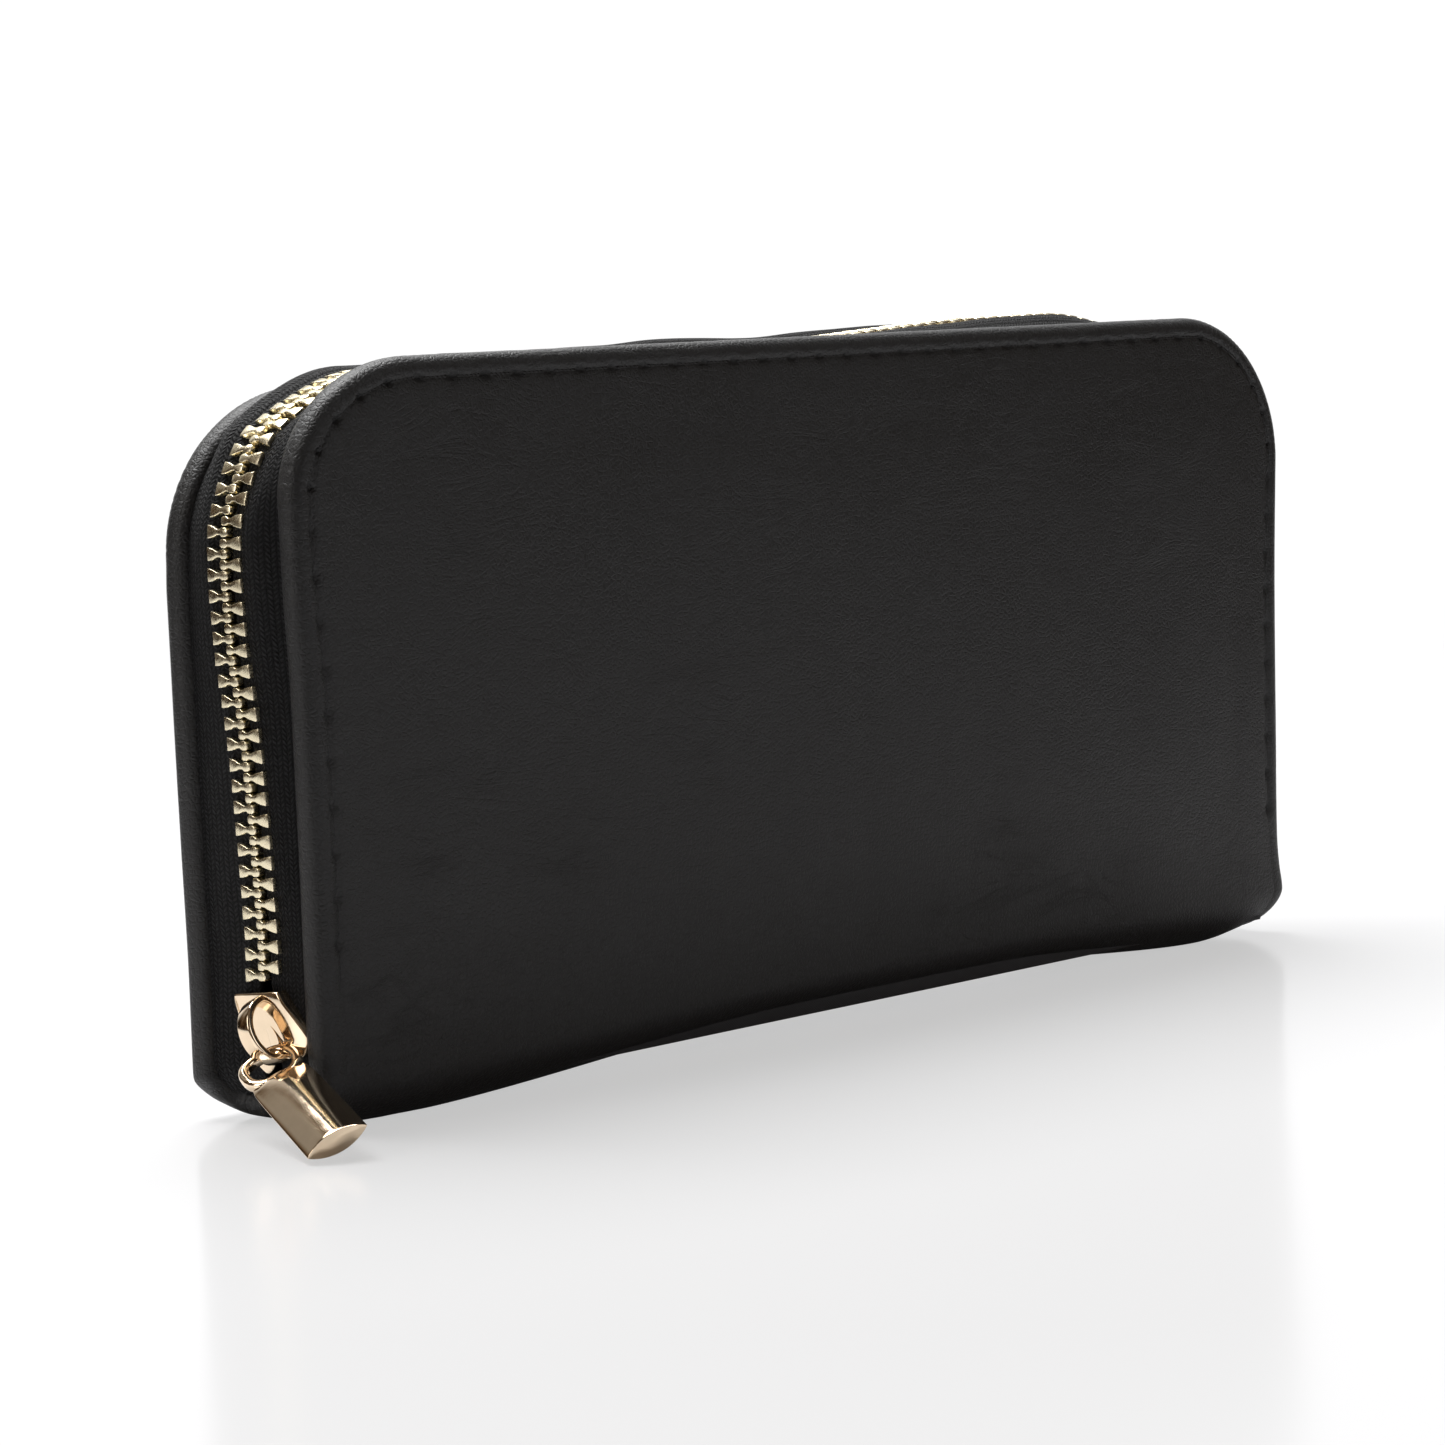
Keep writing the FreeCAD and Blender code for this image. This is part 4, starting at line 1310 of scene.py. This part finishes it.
# ------------------------------------------------------------------------- stage
def floor_material():
    """Pale, slightly glossy floor that fades out with distance."""
    g = new_material("stage_floor_pale")
    g.tree.nodes.remove(g.tree.nodes["Principled BSDF"])
    length = g.node("VectorMath", {"operation": "LENGTH"})
    g.feed(length.inputs[0], g.position())
    fade = g.remap(length.outputs["Value"], span=(190.0, 620.0), to=(0.0, 1.0))
    matte = g.node("BsdfDiffuse", Color=(0.70, 0.70, 0.712, 1)).outputs[0]
    glow = g.node("Emission", Strength=1.04).outputs[0]
    # the camera alone sees part of the floor as glowing paper
    camera_share = g.calc("MULTIPLY", g.node("LightPath").outputs["Is Camera Ray"], 0.62)
    paper = g.mix(camera_share, matte, glow)
    gloss = g.node("BsdfGlossy", Color=(0.9, 0.9, 0.92, 1), Roughness=0.16).outputs[0]
    surface = g.mix(0.17, paper, gloss)
    surface = g.mix(fade, surface, g.node("BsdfTransparent").outputs[0])
    g.feed(g.tree.nodes["Material Output"].inputs["Surface"], surface)
    return g.owner


def stage_floor():
    """Disc of rings that widen outwards, just under the wallet."""
    rings, spokes, radius, z = 24, 96, 1400.0, -0.06
    verts = [(0, 0, z)]
    for ring in range(1, rings + 1):
        reach = radius * (ring / rings) ** 1.6
        for spoke in range(spokes):
            angle = 2 * math.pi * spoke / spokes
            verts.append((reach * math.cos(angle), reach * math.sin(angle), z))
    faces = [(0, 1 + spoke, 1 + (spoke + 1) % spokes) for spoke in range(spokes)]
    quads = grid_faces(rings, spokes, base=1, wrap_cols=True)
    faces += [(quad[0], quad[3], quad[2], quad[1]) for quad in quads]
    piece = make_mesh("stage_floor", verts, faces)
    piece.data.materials.append(floor_material())
    return piece


def area_light(name, place, target, size, power, color=(1, 1, 1)):
    """Rectangular light aimed at a target, in metres and watts."""
    lamp = bpy.data.lights.new(name, "AREA")
    lamp.shape = "RECTANGLE"
    lamp.size, lamp.size_y = size
    lamp.energy = power
    lamp.color = color
    light = add_object(name, lamp)
    light.location = place
    aim = Vector(target) - Vector(place)
    light.rotation_euler = aim.to_track_quat("-Z", "Y").to_euler()
    return light


def make_world():
    """White to the camera; to other rays patchy warm dark, with a bright sweep."""
    world = bpy.data.worlds.new("stage_world")
    scene.world = world
    g = Graph(world)
    g.tree.nodes.clear()

    def background(color, strength):
        return g.node("Background", Color=color, Strength=strength).outputs[0]

    direction = g.coords("Generated")
    patches = g.node("TexNoise", Vector=direction, Scale=2.1, Detail=2.0).outputs["Fac"]
    room = g.ramp(patches, [
        (0.38, (0.03, 0.025, 0.02)), (0.48, (0.13, 0.075, 0.035)),
        (0.58, (0.42, 0.30, 0.20)), (0.72, (0.95, 0.9, 0.84)),
    ])
    # bright paper behind the object, in the direction the camera looks
    facing = g.node("VectorMath", {"operation": "DOT_PRODUCT"})
    g.feed(facing.inputs[0], direction)
    facing.inputs[1].default_value = (0.705, 0.686, 0.18)
    sweep = g.remap(facing.outputs["Value"], span=(0.62, 0.80), to=(0.0, 1.0))
    white = (1, 1, 1, 1)
    lit = g.mix(sweep, background(room, strength=0.28), background(white, strength=1.0))
    is_camera = g.node("LightPath").outputs["Is Camera Ray"]
    seen = g.mix(is_camera, lit, background(white, strength=1.02))
    g.node("OutputWorld", Surface=seen)


def make_camera():
    yaw, pitch, roll = (math.radians(angle) for angle in (-45.77, 5.31, -2.43))
    level = Vector((-math.sin(yaw), math.cos(yaw), 0))
    right = Vector((math.cos(yaw), math.sin(yaw), 0))
    up = Vector((0, 0, 1))
    forward = level * math.cos(pitch) - up * math.sin(pitch)
    up = level * math.sin(pitch) + up * math.cos(pitch)
    rolled_right = right * math.cos(roll) + up * math.sin(roll)
    rolled_up = -right * math.sin(roll) + up * math.cos(roll)
    data = bpy.data.cameras.new("stage_camera")
    data.sensor_width = 36.0
    data.lens = 108.884429
    data.clip_start = 0.01
    camera = add_object("stage_camera", data)
    camera.matrix_world = placement((-426.5, -403.3, 94.8), rolled_right, rolled_up, -forward)
    scene.camera = camera
    return camera


stage = [
    stage_floor(),
    area_light(
        "stage_top", place=(0.05, 0.36, 0.92), target=(-0.02, 0, 0.03), size=(0.85, 0.62),
        power=17.0,
    ),
    area_light(
        "stage_left", place=(-1.05, 0.25, 0.55), target=(-0.05, 0, 0.05), size=(0.4, 0.7),
        power=3.0, color=(1.0, 0.98, 0.95),
    ),
    area_light(
        "stage_front", place=(0.35, -1.1, 0.55), target=(0, 0, 0.05), size=(0.9, 0.4),
        power=1.7, color=(0.97, 0.98, 1.0),
    ),
]
make_world()
stage.append(make_camera())
scene.view_settings.view_transform = "Standard"
scene.view_settings.look = "None"
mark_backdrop(*stage)

# ------------------------------------------------------------------- bounds measured
bpy.context.view_layer.update()
lo, hi = np.full(3, 1e9), np.full(3, -1e9)
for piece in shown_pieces():
    points = np.zeros(len(piece.data.vertices) * 3)
    piece.data.vertices.foreach_get("co", points)
    matrix = np.array(piece.matrix_world)
    points = points.reshape(-1, 3) @ matrix[:3, :3].T + matrix[:3, 3]
    lo, hi = np.minimum(lo, points.min(0)), np.maximum(hi, points.max(0))
